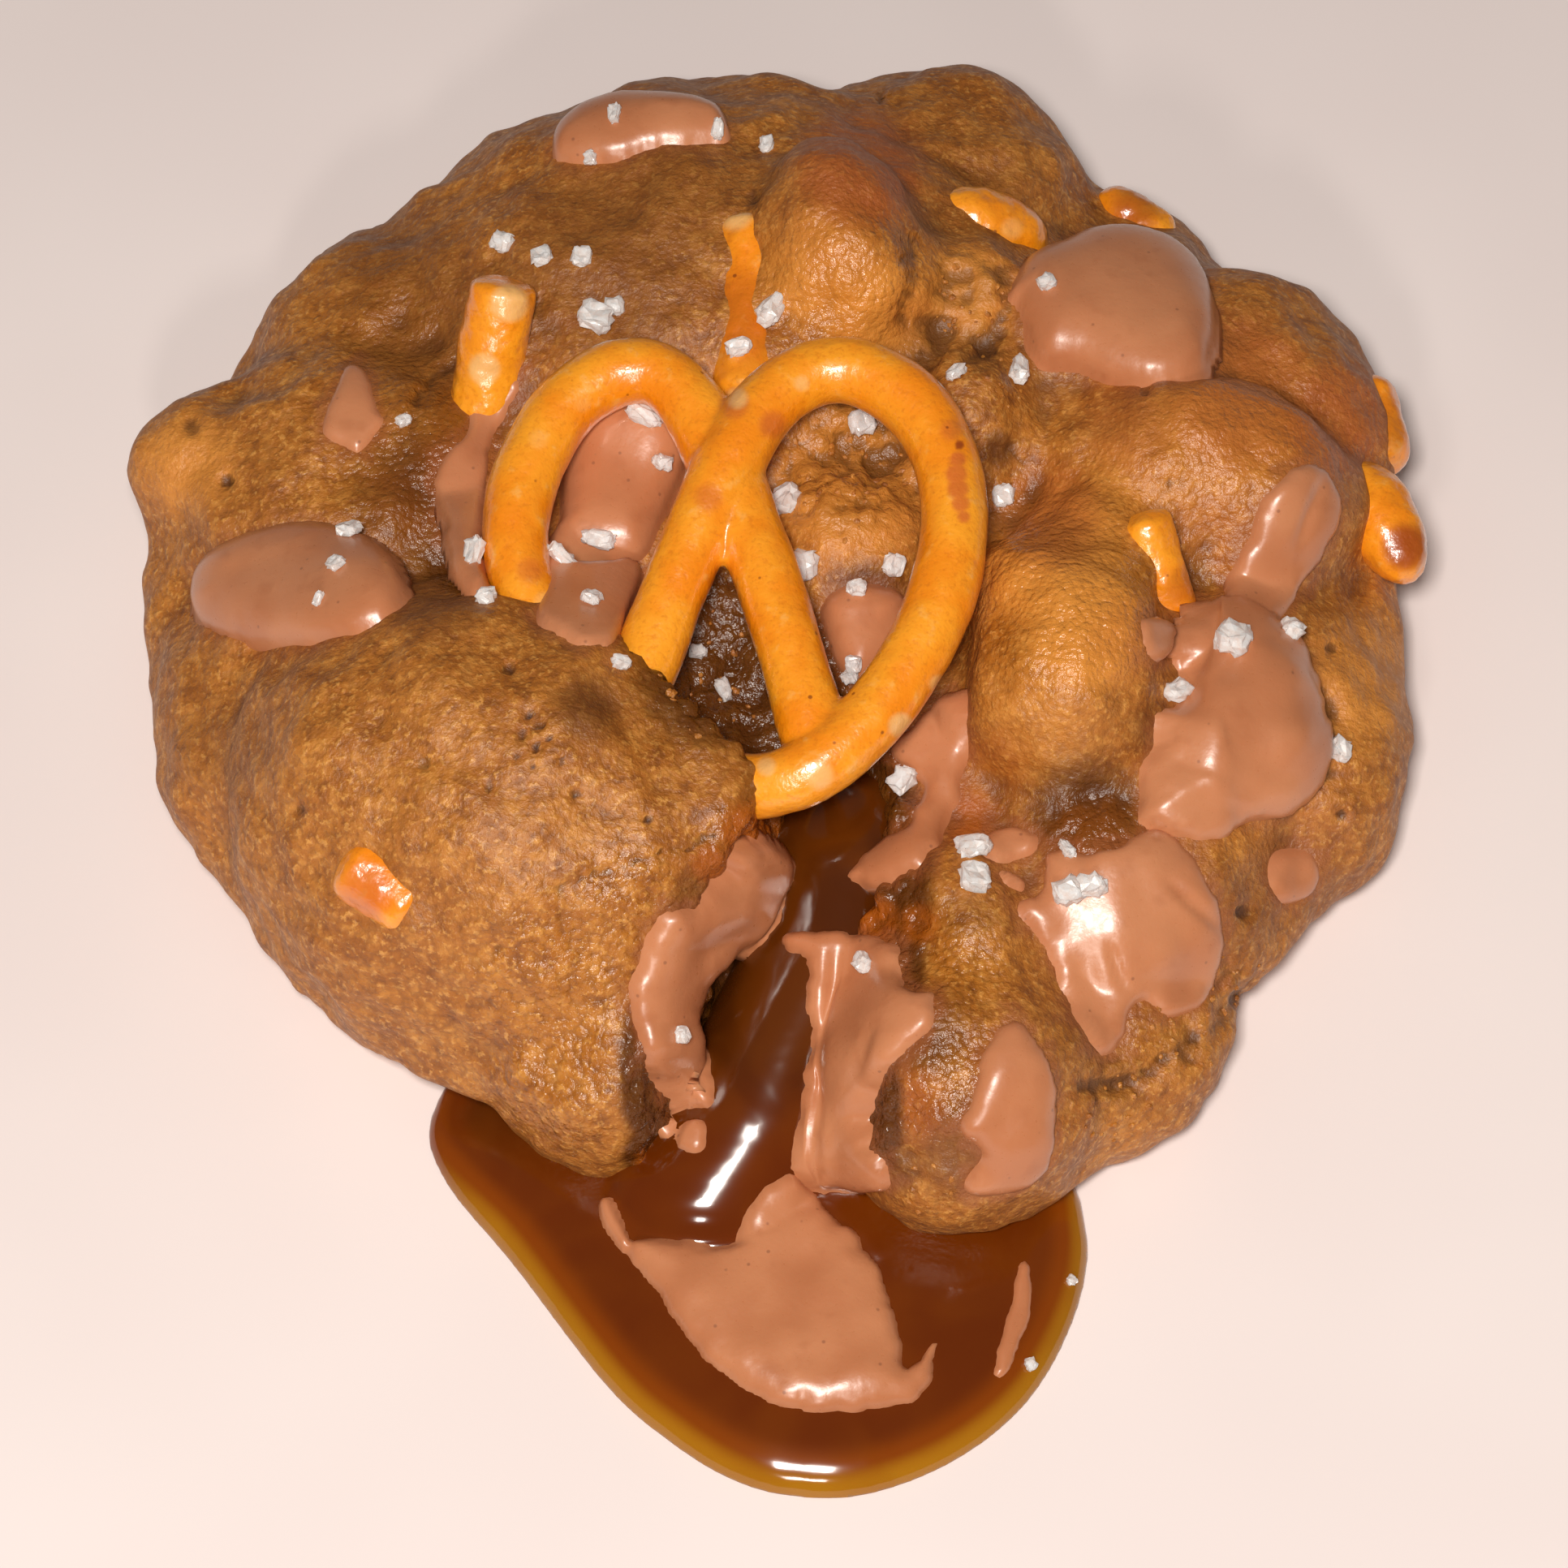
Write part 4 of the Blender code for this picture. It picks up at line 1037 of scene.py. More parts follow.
# %% Broken pieces: the two ends as seen, the depth below the crust, the radius, the rounding
BITS = {
    "pretzel_bit_stub": ((-18.7, 31.6), (-20.6, 27.2), -2.0, 0.4, 2.3, 0.4),
    "pretzel_bit_behind_crown": ((-2.9, 37.6), (-2.5, 28.2), 1.5, 1.4, 2.3, 0.6),
    "pretzel_bit_oval": ((13.4, 39.4), (16.4, 38.0), 1.4, 1.4, 2.8, 1.5),
    "pretzel_bit_valley": ((25.3, 17.0), (26.8, 13.4), 0.4, 0.9, 1.8, 0.4),
    "pretzel_bit_left_lobe": ((-29.0, -6.9), (-27.7, -7.9), 1.8, 2.0, 2.4, 0.5),
}
# Pieces that stick out of the rim: the two ends, the radius, the rounding
RIM_BITS = {
    "pretzel_bit_back_rim": ((24.2, 32.6, 8.6), (26.6, 30.8, 8.3), 1.8, 1.2),
    "pretzel_bit_right_end": ((40.5, 6.6, 11.0), (42.2, 2.4, 10.6), 2.65, 1.9),
    "pretzel_bit_right_rim": ((41.1, 15.0, 9.8), (41.8, 11.4, 9.6), 2.0, 0.9),
}

bit_ends = {
    name: (Vector(start), Vector(end), *rest) for name, (start, end, *rest) in RIM_BITS.items()
}
for name, (first, last, first_depth, last_depth, *rest) in BITS.items():
    ends = []
    for (u, v), depth in ((first, first_depth), (last, last_depth)):
        point, normal = on_crust(smooth_tree, u, v)
        ends.append(point - normal * depth)
    bit_ends[name] = (*ends, *rest)

BIT_VOXEL, BIT_SOFTENING = 0.2, 4
bits = {}
for number, (name, (start, end, radius, rounding)) in enumerate(sorted(bit_ends.items())):
    overhang = (end - start).normalized() * radius
    bit = sweep(
        "baked_" + name, [start - overhang, end + overhang],
        radius=radius, swelling=0.1, end_length=radius * rounding, step=0.15, seed=float(number),
    )
    melt(bit, BIT_VOXEL, BIT_SOFTENING)
    bits[name] = shape_with(
        bit, relief, wave_height=0.32, wave_size=2.2, grain_height=0.08, grain_size=0.7,
        crumb_height=0.0, crumb_size=1.0, seed=float(number),
    )
print("pretzel pieces:", {name: len(thing.data.polygons) for name, thing in bits.items()})

# %% [markdown]
# ## Colours
# Colours are written as they look on a screen, in hex. Blender's shaders work in linear light, so
# one function turns a hex value into that. The sizes of patterns are given in millimetres: a
# texture that reads Object coordinates, in metres, repeats 1000 / size times per metre. Most
# finishes here are a ground colour with thin layers over it, so one function lays the layers.


# %% Hex to linear light, millimetres to texture scale
def linear(hex_colour):
    made = []
    for i in (1, 3, 5):
        share = int(hex_colour[i:i + 2], 16) / 255
        made.append(share / 12.92 if share <= 0.04045 else ((share + 0.055) / 1.055) ** 2.4)
    return (*made, 1.0)


def every(size_mm):
    """The scale of a texture whose features are this many millimetres apart."""
    return 1 / (size_mm * MM)


print("mid grey in linear light:", round(linear("#808080")[0], 3))


# %% A new finish, and layers of colour
def new_finish(name, marks_read=()):
    """A material with its tree and shader, its Object coordinates and the marks it reads."""
    finish = bpy.data.materials.new(name)
    finish.use_nodes = True
    tree = finish.node_tree
    where = add(tree, "ShaderNodeTexCoord").outputs["Object"]
    read = [
        add(tree, "ShaderNodeAttribute", attribute_name=mark).outputs["Fac"] for mark in marks_read
    ]
    return finish, tree, tree.nodes["Principled BSDF"], where, read


def lay_colours(tree, ground, layers):
    """Colours laid over a ground. A layer is (value, start, end, most, colour)."""
    colour = linear(ground)
    for value, start, end, most, tint in layers:
        share = add(
            tree, "ShaderNodeMapRange",
            {"Value": value, "From Min": start, "From Max": end, "To Max": most},
            interpolation_type="SMOOTHSTEP",
        )
        colour = add(
            tree, "ShaderNodeMix", {0: share, 6: colour, 7: linear(tint)}, data_type="RGBA"
        ).outputs[2]
    return colour


def set_shader(shader, **values):
    """Colours, bumps and plain values on the shader's own sockets."""
    feed(shader, {name.replace("_", " "): value for name, value in values.items()})


print("materials so far:", len(bpy.data.materials))

# %% [markdown]
# ## Baked cookie dough
# Butter-rich dough bakes to a golden tan with a fine sugary grain and red-brown on the toasted
# crowns. Its creases, pores, pits and the borders between its grains are darkened with painted
# shade, and part of the browned places is painted shade too; the golden places are a painted sheen
# that stands in for glints. Fat makes the grain glint. So the colour is built up in layers, each
# let through by one of the numbers on the crust, and a fine bump of sugar grains, 0.45 mm apart,
# breaks the gloss into many small lights.

# %% Golden baked cookie crust
baked_crust, tree, shader, where, read = new_finish(
    "baked_cookie_crust",
    ("browned", "golden", "toast", "crease", "torn", "soak", "amber", "stain", "pore", "pit",
     "grease"),
)
browned, golden, toast, crease, torn, soak, amber, stain, pore, pit, grease = read
mottle, fleck, grit = (
    add(
        tree, "ShaderNodeTexNoise",
        {"Vector": where, "Scale": every(size_mm), "Detail": 3.0, "Roughness": 0.6},
    )
    for size_mm in (5.0, 1.2, 0.45)
)
cell = add(tree, "ShaderNodeTexVoronoi", {"Vector": where, "Scale": every(0.55)})
# The square of the distance makes each grain a dome, so each catches one small light
dome = add(tree, "ShaderNodeMath", {0: cell, 1: cell}, operation="MULTIPLY")
colour = lay_colours(tree, "#A25E17", (
    (mottle, 0.35, 0.68, 0.7, "#BC7628"),
    (fleck, 0.46, 0.72, 0.6, "#D4903F"),
    (fleck, 0.48, 0.28, 0.6, "#723B0A"),
    (grit, 0.52, 0.7, 0.7, "#E0A050"),
    # painted shade: the sunken borders between the grains are drawn darker
    (dome, 0.2, 0.5, 0.3, "#74400F"),
    # partly painted shade
    (browned, 0.0, 1.0, 0.75, "#74400F"),
    # painted sheen in place of glints
    (golden, 0.0, 1.0, 0.75, "#E4943C"),
    (toast, 0.0, 1.0, 0.65, "#A85422"),
    # painted shade in the creases
    (crease, 0.15, 1.3, 0.7, "#522A0A"),
    (torn, 0.2, 1.0, 0.45, "#8E5C22"),
    (soak, 0.05, 0.95, 0.85, "#4E2606"),
    (amber, 0.1, 0.9, 0.8, "#AA560C"),
    (stain, 0.0, 1.0, 0.6, "#96552F"),
    # painted shade in the small hollows
    (pore, 0.02, 0.16, 0.4, "#4A260C"),
    # painted shade in the pits and cracks
    (pit, 0.2, 0.9, 0.9, "#40200A"),
))
dry, wet = (
    add(
        tree, "ShaderNodeMapRange",
        {"Value": grit, "From Min": 0.3, "From Max": 0.7, "To Min": dull, "To Max": bright},
    )
    for dull, bright in ((0.62, 0.42), (0.3, 0.2))
)
gloss = add(tree, "ShaderNodeMix", {0: grease, 2: dry, 3: wet}, data_type="FLOAT")
# Greasy dough is knobblier than the dry crust
knobs = add(tree, "ShaderNodeMath", {0: grease, 1: 0.5, 2: 0.15}, operation="MULTIPLY_ADD")
sink = add(
    tree, "ShaderNodeBump", {"Height": dome, "Distance": 0.0002, "Strength": knobs},
    invert=True,
)
bump = add(
    tree, "ShaderNodeBump",
    {"Height": grit, "Distance": 0.00018, "Strength": 1.0, "Normal": sink},
)
set_shader(
    shader, Base_Color=colour, Roughness=gloss, Normal=bump,
    Specular_IOR_Level=0.65, Subsurface_Weight=0.06, Subsurface_Radius=(0.9, 0.45, 0.2),
    Subsurface_Scale=0.001,
)
print(baked_crust.name, "has", len(tree.nodes), "nodes")

# %% [markdown]
# ## Milk chocolate
# Chocolate that softened in the oven and set again is satin, not shiny: cocoa butter has come to
# the surface. It is one even brown with hardly visible clouds and a few dark specks.

# %% Softened milk chocolate
milk_chocolate, tree, shader, where, _ = new_finish("softened_milk_chocolate")
cloud, ripple, fine = (
    add(
        tree, "ShaderNodeTexNoise",
        {"Vector": where, "Scale": every(size_mm), "Detail": 2.0, "Roughness": 0.55},
    )
    for size_mm in (7.0, 2.2, 0.4)
)
speck = add(tree, "ShaderNodeTexVoronoi", {"Vector": where, "Scale": every(1.7)})
colour = lay_colours(tree, "#BB764E", (
    (cloud, 0.35, 0.65, 1.0, "#C7835A"),
    (ripple, 0.55, 0.75, 0.3, "#A6623C"),
    (speck, 0.1, 0.04, 0.45, "#6B4030"),
))
gloss = add(
    tree, "ShaderNodeMapRange",
    {"Value": fine, "From Min": 0.3, "From Max": 0.7, "To Min": 0.27, "To Max": 0.37},
)
soft = add(tree, "ShaderNodeBump", {"Height": ripple, "Distance": 0.00016, "Strength": 0.35})
bump = add(
    tree, "ShaderNodeBump",
    {"Height": fine, "Distance": 0.00003, "Strength": 0.6, "Normal": soft},
)
set_shader(
    shader, Base_Color=colour, Roughness=gloss, Normal=bump,
    Specular_IOR_Level=0.5, Coat_Weight=0.35, Coat_Roughness=0.3, Subsurface_Weight=0.1,
    Subsurface_Radius=(0.8, 0.4, 0.25), Subsurface_Scale=0.001,
)
print(milk_chocolate.name, "has", len(tree.nodes), "nodes")

# %% [markdown]
# ## Pretzel crust
# A dip in lye before baking gives a pretzel its thin, glossy, orange-brown skin. It blisters in
# places, and there the pale flaky dough shows. The gloss is a thin clear coat over a duller body.

# %% Lye-baked pretzel crust
pretzel_crust, tree, shader, where, read = new_finish(
    "lye_baked_pretzel_crust", ("crease", "scar", "pale", "burnt")
)
crease, scar, pale, burnt = read
tone, scald, fine = (
    add(
        tree, "ShaderNodeTexNoise",
        {"Vector": where, "Scale": every(size_mm), "Detail": 3.0, "Roughness": 0.6},
    )
    for size_mm in (6.0, 1.5, 0.35)
)
speck = add(tree, "ShaderNodeTexVoronoi", {"Vector": where, "Scale": every(2.4)})
colour = lay_colours(tree, "#F48B0A", (
    (tone, 0.35, 0.65, 1.0, "#FDA422"),
    (fine, 0.5, 0.3, 0.35, "#C86A0A"),
    # painted shade in the pretzel's creases
    (crease, 0.02, 0.5, 0.8, "#B0540A"),
    (scald, 0.6, 0.74, 0.5, "#F7B45C"),
    (scar, 0.1, 0.9, 0.8, "#CC6426"),
    (pale, 0.2, 0.8, 0.85, "#F2BC74"),
    # burnt spots, one of them a painted shadow
    (burnt, 0.1, 0.9, 0.85, "#93360A"),
    (speck, 0.08, 0.04, 0.75, "#7A3305"),
))
soft = add(tree, "ShaderNodeBump", {"Height": scald, "Distance": 0.00025, "Strength": 0.5})
bump = add(
    tree, "ShaderNodeBump",
    {"Height": fine, "Distance": 0.00005, "Strength": 0.6, "Normal": soft},
)
set_shader(
    shader, Base_Color=colour, Normal=bump, Coat_Normal=bump, Roughness=0.35,
    Coat_Weight=1.0, Coat_Roughness=0.2, Subsurface_Weight=0.08,
    Subsurface_Radius=(0.9, 0.45, 0.1), Subsurface_Scale=0.001,
)
print(pretzel_crust.name, "has", len(tree.nodes), "nodes")

# %% [markdown]
# ## Caramel
# Cooked sugar is clear amber: golden where it is thin, brown where it is thick, and nearly black
# in the shade of the tear. True light transport through it is slow and noisy at this size, so one
# number at each point picks the colour: it grows with the distance from the pool's edge, as the
# thickness does, and adds painted shade under the lobes and in the mouth of the tear. The wet
# surface is a smooth clear coat.

# %% Runny amber caramel
amber_caramel, tree, shader, where, (thick,) = new_finish("runny_amber_caramel", ("thick",))
flow = add(
    tree, "ShaderNodeTexNoise",
    {"Vector": where, "Scale": every(9.0), "Detail": 2.0, "Roughness": 0.5, "Distortion": 0.8},
)
colour = lay_colours(tree, "#A66E10", (
    (thick, 0.0, 0.25, 1.0, "#803A02"),
    (thick, 0.25, 0.6, 1.0, "#622702"),
    (thick, 0.6, 1.0, 1.0, "#4A2004"),
    (flow, 0.4, 0.7, 0.2, "#844206"),
))
bump = add(tree, "ShaderNodeBump", {"Height": flow, "Distance": 0.0005, "Strength": 0.35})
set_shader(
    shader, Base_Color=colour, Normal=bump, Roughness=0.12, IOR=1.49, Coat_Weight=0.2,
    Coat_Roughness=0.03, Subsurface_Weight=0.08, Subsurface_Radius=(1.0, 0.4, 0.08),
    Subsurface_Scale=0.0015,
)
print(amber_caramel.name, "has", len(tree.nodes), "nodes")

# %% [markdown]
# ## Salt
# Coarse salt is clear inside with a frosted, chipped skin, so it passes light and scatters it.

# %% Coarse frosted salt
frosted_salt, tree, shader, where, _ = new_finish("coarse_frosted_salt")
frost = add(
    tree, "ShaderNodeTexNoise",
    {"Vector": where, "Scale": every(0.5), "Detail": 3.0, "Roughness": 0.6},
)
colour = lay_colours(tree, "#F4E8E2", ((frost, 0.35, 0.65, 1.0, "#FFFFFF"),))
bump = add(tree, "ShaderNodeBump", {"Height": frost, "Distance": 0.00012, "Strength": 0.5})
set_shader(
    shader, Base_Color=colour, Normal=bump, Roughness=0.28, IOR=1.54,
    Transmission_Weight=0.2, Subsurface_Weight=0.5, Subsurface_Radius=(1.0, 1.0, 1.0),
    Subsurface_Scale=0.0008,
)
print(frosted_salt.name, "has", len(tree.nodes), "nodes")

# %% [markdown]
# ## Marks for the finishes
# Now each piece gets the numbers that its material reads: browned places that are partly painted
# shade, golden places that are a painted sheen, toast, soak, grease and stain on the crust, scars,
# pale patches and burnt places, one of them a painted shadow, on the pretzel, and thickness with
# painted shade on the caramel.

# %% Mark the crust: places as seen, radius, strength
# Browner places: partly deeper baking, partly painted shade on the back slope and plateau that face
# away from the lamp
BROWNED_AND_SHADED = (
    (-24, 30, 7, 0.8), (-26, 34, 6, 0.7), (-12, 36, 8, 0.7), (-8, 42, 8, 0.6), (8, 44, 8, 0.4),
    (14, 41, 5, 0.5), (-21.5, 27, 5, 1), (-25, 20, 5, 1), (-24, 14, 4.5, 0.9), (-13, 5, 3, 0.6),
    (31, -9, 3.5, 0.5), (37, -6, 4, 0.4), (9.6, -17, 3.5, 0.9), (12.4, -24.6, 4, 0.9),
    (20, -19, 4, 0.4), (8, -8, 3, 0.8), (21, -3, 4, 1), (25, 27, 3, 0.5), (37, 18, 4, 0.3),
    (-8.6, -24, 2.6, 0.8), (18, 29.5, 4, 0.4), (-38.5, 3, 4, 0.4), (31, 31, 3.5, 0.5),
    (23.4, -13, 5, 0.4),
)
# Painted sheen: lighter golden patches on the crown and the lumps stand in for their glints
GOLDEN_SHEEN = (
    (6.3, 32.3, 4, 1), (2.4, 35, 4.5, 0.8), (18.6, 15.3, 5.5, 1), (18, 4.8, 4.8, 0.4),
    (20.8, 10.3, 4.5, 1), (4.7, 20.3, 5.4, 0.9), (-40.9, 22, 4, 0.7), (39.7, 7, 5, 0.6),
    (28, -16.9, 3, 0.2), (24, -25, 3, 0.2), (30, 24.6, 7, 0.6), (34, 19, 4, 0.4),
    (12.6, 33.6, 3.4, 0.8), (32.6, -2.8, 3, 0.4), (23.4, 21, 4, 0.5), (-28, 30, 5, 0.2),
)
SOAKED = (
    (-4.8, 7.8, 5.8, 1), (-24, 20.8, 3.6, 0.6), (-22.4, 15.6, 3, 0.6), (26, 3.5, 2.6, 0.6),
    (20.5, -1.8, 4.4, 0.7), (12.6, -9, 2.2, 0.4), (9.5, -17.5, 2, 0.5), (14.8, 23, 1.4, 0.7),
    (31.5, 5.5, 1.2, 0.8), (-17, 31, 2, 0.5), (5.8, 12.5, 3, 0.9), (-8, -24.6, 1.8, 0.7),
    (5.5, 0, 3.6, 0.95), (-13.5, 5.4, 2.4, 0.5), (7.6, -26.6, 1.8, 0.6),
)
AMBER = (
    (-2.2, -3.4, 2.4, 1), (-5, -5.4, 1.6, 0.8), (0.4, -3.6, 1.4, 0.8), (-8.8, -26, 1.5, 0.9),
    (6, -9.4, 2, 0.9), (9.2, -9.6, 1.6, 0.7), (14.6, 1.4, 3, 0.45), (13.2, -2.4, 2.4, 0.6),
    (-25.8, -25.6, 1.2, 0.7), (21, -3.4, 3.4, 0.4), (-22.6, 22.6, 3, 0.4),
)
TOASTED = (
    (5.2, 42, 4.6, 1), (3.6, 38, 4.6, 0.4), (18, 18.4, 4, 0.8), (24, 10, 3.5, 0.4),
    (31.5, 26.5, 6, 0.8), (37.6, 25, 4.5, 1), (24, 24.5, 4, 0.5), (12.2, -2, 2.2, 0.8),
    (8.5, -22, 3, 0.7), (29.4, 17.5, 3.5, 0.5), (-24.5, 19.5, 4, 0.3), (35.5, -3, 3, 0.3),
    (8.6, 32, 2, 0.4),
)
GREASY = (
    (-15.5, -13.5, 6, 1), (-10.5, -8, 4.2, 0.9), (-15.5, -20, 5, 0.9), (3.8, 34, 6, 0.9),
    (19.2, 13.5, 8, 1), (11.5, -12.5, 3.8, 0.8), (11.6, -20.6, 4.6, 1), (8, -22, 3.5, 1),
    (21.5, -3.2, 3.4, 1), (-24.5, 22, 6.5, 0.9), (-22, 17, 4.5, 0.9), (-4.8, 7.8, 5.8, 1),
    (4.6, 21.5, 5, 0.6), (31, 23, 7, 0.6), (5.5, 0, 3.6, 1), (-27, 29, 6, 0.5), (24, -15, 4, 0.4),
    (-3, -4, 3, 1), (28, 14, 5, 0.5), (9, -9, 2.4, 1),
)

points = points_of(crust)
there = seen_at(points)
from_tear = wall_distance(points, tear_spots)
in_tear = (1 - ramp(from_tear, 0.8, 2.2)) * (1 - ramp(points[:, 2], 15, 20) * 0.5)
for name, spots in (("browned", BROWNED_AND_SHADED), ("golden", GOLDEN_SHEEN), ("toast", TOASTED), ("amber", AMBER)):
    store(crust, name, marks(crust, spots))
store(crust, "soak", np.maximum(in_tear, marks(crust, SOAKED)))
store(crust, "grease", np.maximum(in_tear, marks(crust, GREASY)))
print("share of the crust in the tear:", round(float((in_tear > 0.5).mean()), 3))

# %% Stain the crust round the chocolate
# A thick chip stains less than a thin film does
STAIN_REACH, THICK_CHIP = 1.5, 1.5
stain = np.zeros(len(points))
patchy = np.array([noise.noise(Vector((u * 0.9, v * 0.9, 5.0))) for u, v in there])
for _, patches in (*CHIPS.values(), *FILMS.values()):
    for thickness, _, outline in patches:
        corners = np.array(outline)
        low, high = corners.min(0) - STAIN_REACH, corners.max(0) + STAIN_REACH
        near = ((there > low) & (there < high)).all(1)
        inside = inside_of(outline, there[near]) + patchy[near] * 1.2
        strength = 1.0 if thickness < THICK_CHIP else 0.6
        stain[near] = np.maximum(stain[near], ramp(inside, -STAIN_REACH, 0.2) * strength)
store(crust, "stain", stain * ramp(normals_of(crust)[:, 2], -0.1, 0.3))
print("share of the crust that is stained:", round(float((stain > 0.5).mean()), 3))

# %% Mark the pretzel and its pieces
SCARS = (
    (11.9, 22.2, 0.6, 1), (11.8, 21.2, 0.8, 1), (11.9, 20.2, 0.8, 1), (12.1, 19.2, 0.7, 0.9),
    (12.3, 18.3, 0.5, 0.9), (-3.4, 26, 1.2, 0.7), (11.4, 24.2, 0.9, 0.6), (-0.8, 24.6, 1.1, 0.7),
    (-28.8, -7.4, 2.4, 0.7), (-5.2, 19.6, 1.2, 0.6), (-17.4, 14.6, 1.1, 0.6),
)
PALE = (
    (-3.2, 26.4, 0.9, 0.7), (1.2, 27.4, 0.7, 0.6), (-18.8, 32.9, 1.4, 1), (-20.5, 28.4, 1.2, 0.9),
    (-16.8, 23.6, 1, 0.4), (-13.8, 26, 0.8, 0.4), (10.6, 6.8, 0.8, 0.7), (8, 4, 1, 0.8),
    (-3.4, 39.2, 1.5, 0.8), (15.6, 38, 1, 0.5), (25.6, 19.4, 0.8, 0.8), (2.4, 0.6, 1.2, 0.7),
    (3.4, -1.6, 0.9, 0.8), (-16.4, 12.4, 1, 0.5), (-1.2, 1.2, 0.8, 0.7),
)
# Dark burnt spots; the one at (-3, 32) is a painted shadow of the crown lump on the piece behind it
BURNT_AND_SHADOWED = (
    (42.6, 16.2, 1.8, 0.9), (-3, 32, 4, 0.5), (24, 39.4, 2, 0.6), (12, 23.2, 0.35, 1),
    (40.5, 24, 3, 0.5), (27.4, 13.6, 1.6, 0.5),
)
for thing in (pretzel, *bits.values()):
    # Painted shade: the crease number darkens the creases of the pretzel and its pieces
    shape_with(thing, hollows, rounds=25, name="crease")
    for name, spots in (("scar", SCARS), ("pale", PALE), ("burnt", BURNT_AND_SHADOWED)):
        store(thing, name, marks(thing, spots))
print("marks on the pretzel:", len(SCARS) + len(PALE) + len(BURNT_AND_SHADOWED))

# %% Measure how thick the caramel is
points = points_of(caramel)
edge = np.array([(point.x, point.y) for point in pool_edge])
to_edge = np.full(len(points), np.inf)
for start, end in zip(edge, np.roll(edge, -1, 0)):
    to_edge = np.minimum(to_edge, off_segment(points[:, :2], start, end)[1])
# In the open pool the colour deepens over its outer millimetres, where the caramel thickens.
# Darker under the lobes and darkest in the mouth of the tear is painted shade.
in_pool = ramp(to_edge, 0.0, 3.6) * 0.6
lobe_shade = ramp(points[:, 1], -45, -34) * 0.35
tear_shade = ramp(points[:, 1], -43, -35) * ramp(points[:, 0], -12, -5) * ramp(-points[:, 0], -12, -6)
store(caramel, "thick", np.clip(np.maximum(in_pool + lobe_shade, tear_shade), 0, 1))
print("mean distance from the pool's edge in mm:", round(float(to_edge.mean()), 1))

# %% [markdown]
# ## Salt crystals
# Five chipped crystals are made from cubes and slabs, and the tree that sets shapes down chooses
# among them, with a fixed seed. A crystal leans a little, as it was dropped, and is partly sunk.

# %% Places of the salt, as seen (u, v), and its size in millimetres
SALT = (
    (-19.2, 37, 1.3), (-16.5, 36, 1.5), (-13.8, 36, 1.1), (-12.8, 31.8, 2), (-11.6, 32.6, 1.3),
    (-1, 32.4, 1.8), (-3, 29.8, 1.2), (-1.2, 43.6, 1), (-13.2, 42.8, 1.1), (-11.6, 45.8, 1),
    (-4.6, 44.8, 1), (11.8, 28, 1.3), (15.9, 28.2, 1.8), (18, 34.2, 1.3), (5.2, 24.8, 1.5),
    (0.3, 19.2, 1.9), (1.4, 15, 1.7), (7.4, 15, 1.5), (5, 13.2, 1.2), (4.8, 8.2, 1.4),
    (14.9, 19.8, 1.3), (-29.8, 17.2, 1.3), (-30.6, 15, 1), (-31.8, 12.6, 0.8), (-21, 15.7, 1.6),
    (-20.4, 12.6, 1.2), (-9.4, 25.4, 1.8), (-8.4, 22, 1.3), (-12.6, 16.8, 1.6), (-15.4, 15.4, 1.4),
    (-13.2, 12.6, 1.2), (30.8, 9.8, 2), (34.6, 10.4, 1.5), (26.8, 6.2, 1.5), (37.8, 2.3, 1.4),
    (13, -4.6, 1.6), (13, -6.6, 1.9), (21, -7, 1.7), (19.4, -7.4, 1.6), (19.4, -4.6, 1.1),
    (5.6, -12.3, 1.4), (-7.2, -17.2, 1.1), (8.3, 0.2, 1.7), (-6, 9, 1.2), (-4.2, 6.4, 1.1),
    (16.8, -39.7, 0.9), (-11.2, 8.2, 1), (19.6, -34, 0.7), (-26, 24.8, 0.9), (4.6, 7.4, 1),
)


BEVEL, KNOCK = 0.22, 0.11
# How far a crystal stands out, how far it leans, and how much of the surface it feels
STANDING, LEANING, FOOTPRINT = 0.22, 0.3, 0.8


def crystal(draw, stretch):
    """A cube with bevelled edges, knocked out of true."""
    bm = bmesh.new()
    bmesh.ops.create_cube(bm, size=1)
    bmesh.ops.bevel(bm, geom=bm.edges[:], offset=BEVEL, segments=1, affect="EDGES")
    bmesh.ops.subdivide_edges(bm, edges=bm.edges[:], cuts=1, use_grid_fill=True)
    for vert in bm.verts:
        knock = Vector((draw.uniform(-1, 1), draw.uniform(-1, 1), draw.uniform(-1, 1))) * KNOCK
        vert.co = Vector([side * length for side, length in zip(vert.co, stretch)]) + knock
    bmesh.ops.recalc_face_normals(bm, faces=bm.faces)
    return bm


def even_normal(tree, point, reach):
    """The average direction of the surface round a point."""
    total = Vector()
    for _, normal, _, _ in tree.find_nearest_range(point, reach):
        total += normal
    return total.normalized()


draw = random.Random(4)
STRETCHES = ((1, 1, 0.9), (1.3, 0.9, 0.6), (1, 0.8, 0.8), (1.5, 0.7, 0.6), (1.1, 1.1, 0.55))
crystals = shape_box("crystals", *[crystal(draw, stretch) for stretch in STRETCHES])
hosts = search_tree(crust, caramel, pretzel, *bits.values(), *chips.values(), *films.values())
salt_spots = []
for u, v, wide in SALT:
    point, _ = on_crust(hosts, u, v)
    normal = even_normal(hosts, point, FOOTPRINT)
    lean = (normal + Vector((draw.uniform(-1, 1), draw.uniform(-1, 1), 0)) * LEANING).normalized()
    scale = wide * draw.uniform(0.85, 1.1)
    place = point + normal * scale * STANDING
    salt_spots.append((place, lean, draw.uniform(0, math.tau), (scale,) * 3))
salt = set_down("coarse_salt", crystals, salt_spots, 7, frosted_salt)
print("salt crystals:", len(salt_spots), "with", len(salt.data.polygons), "faces")

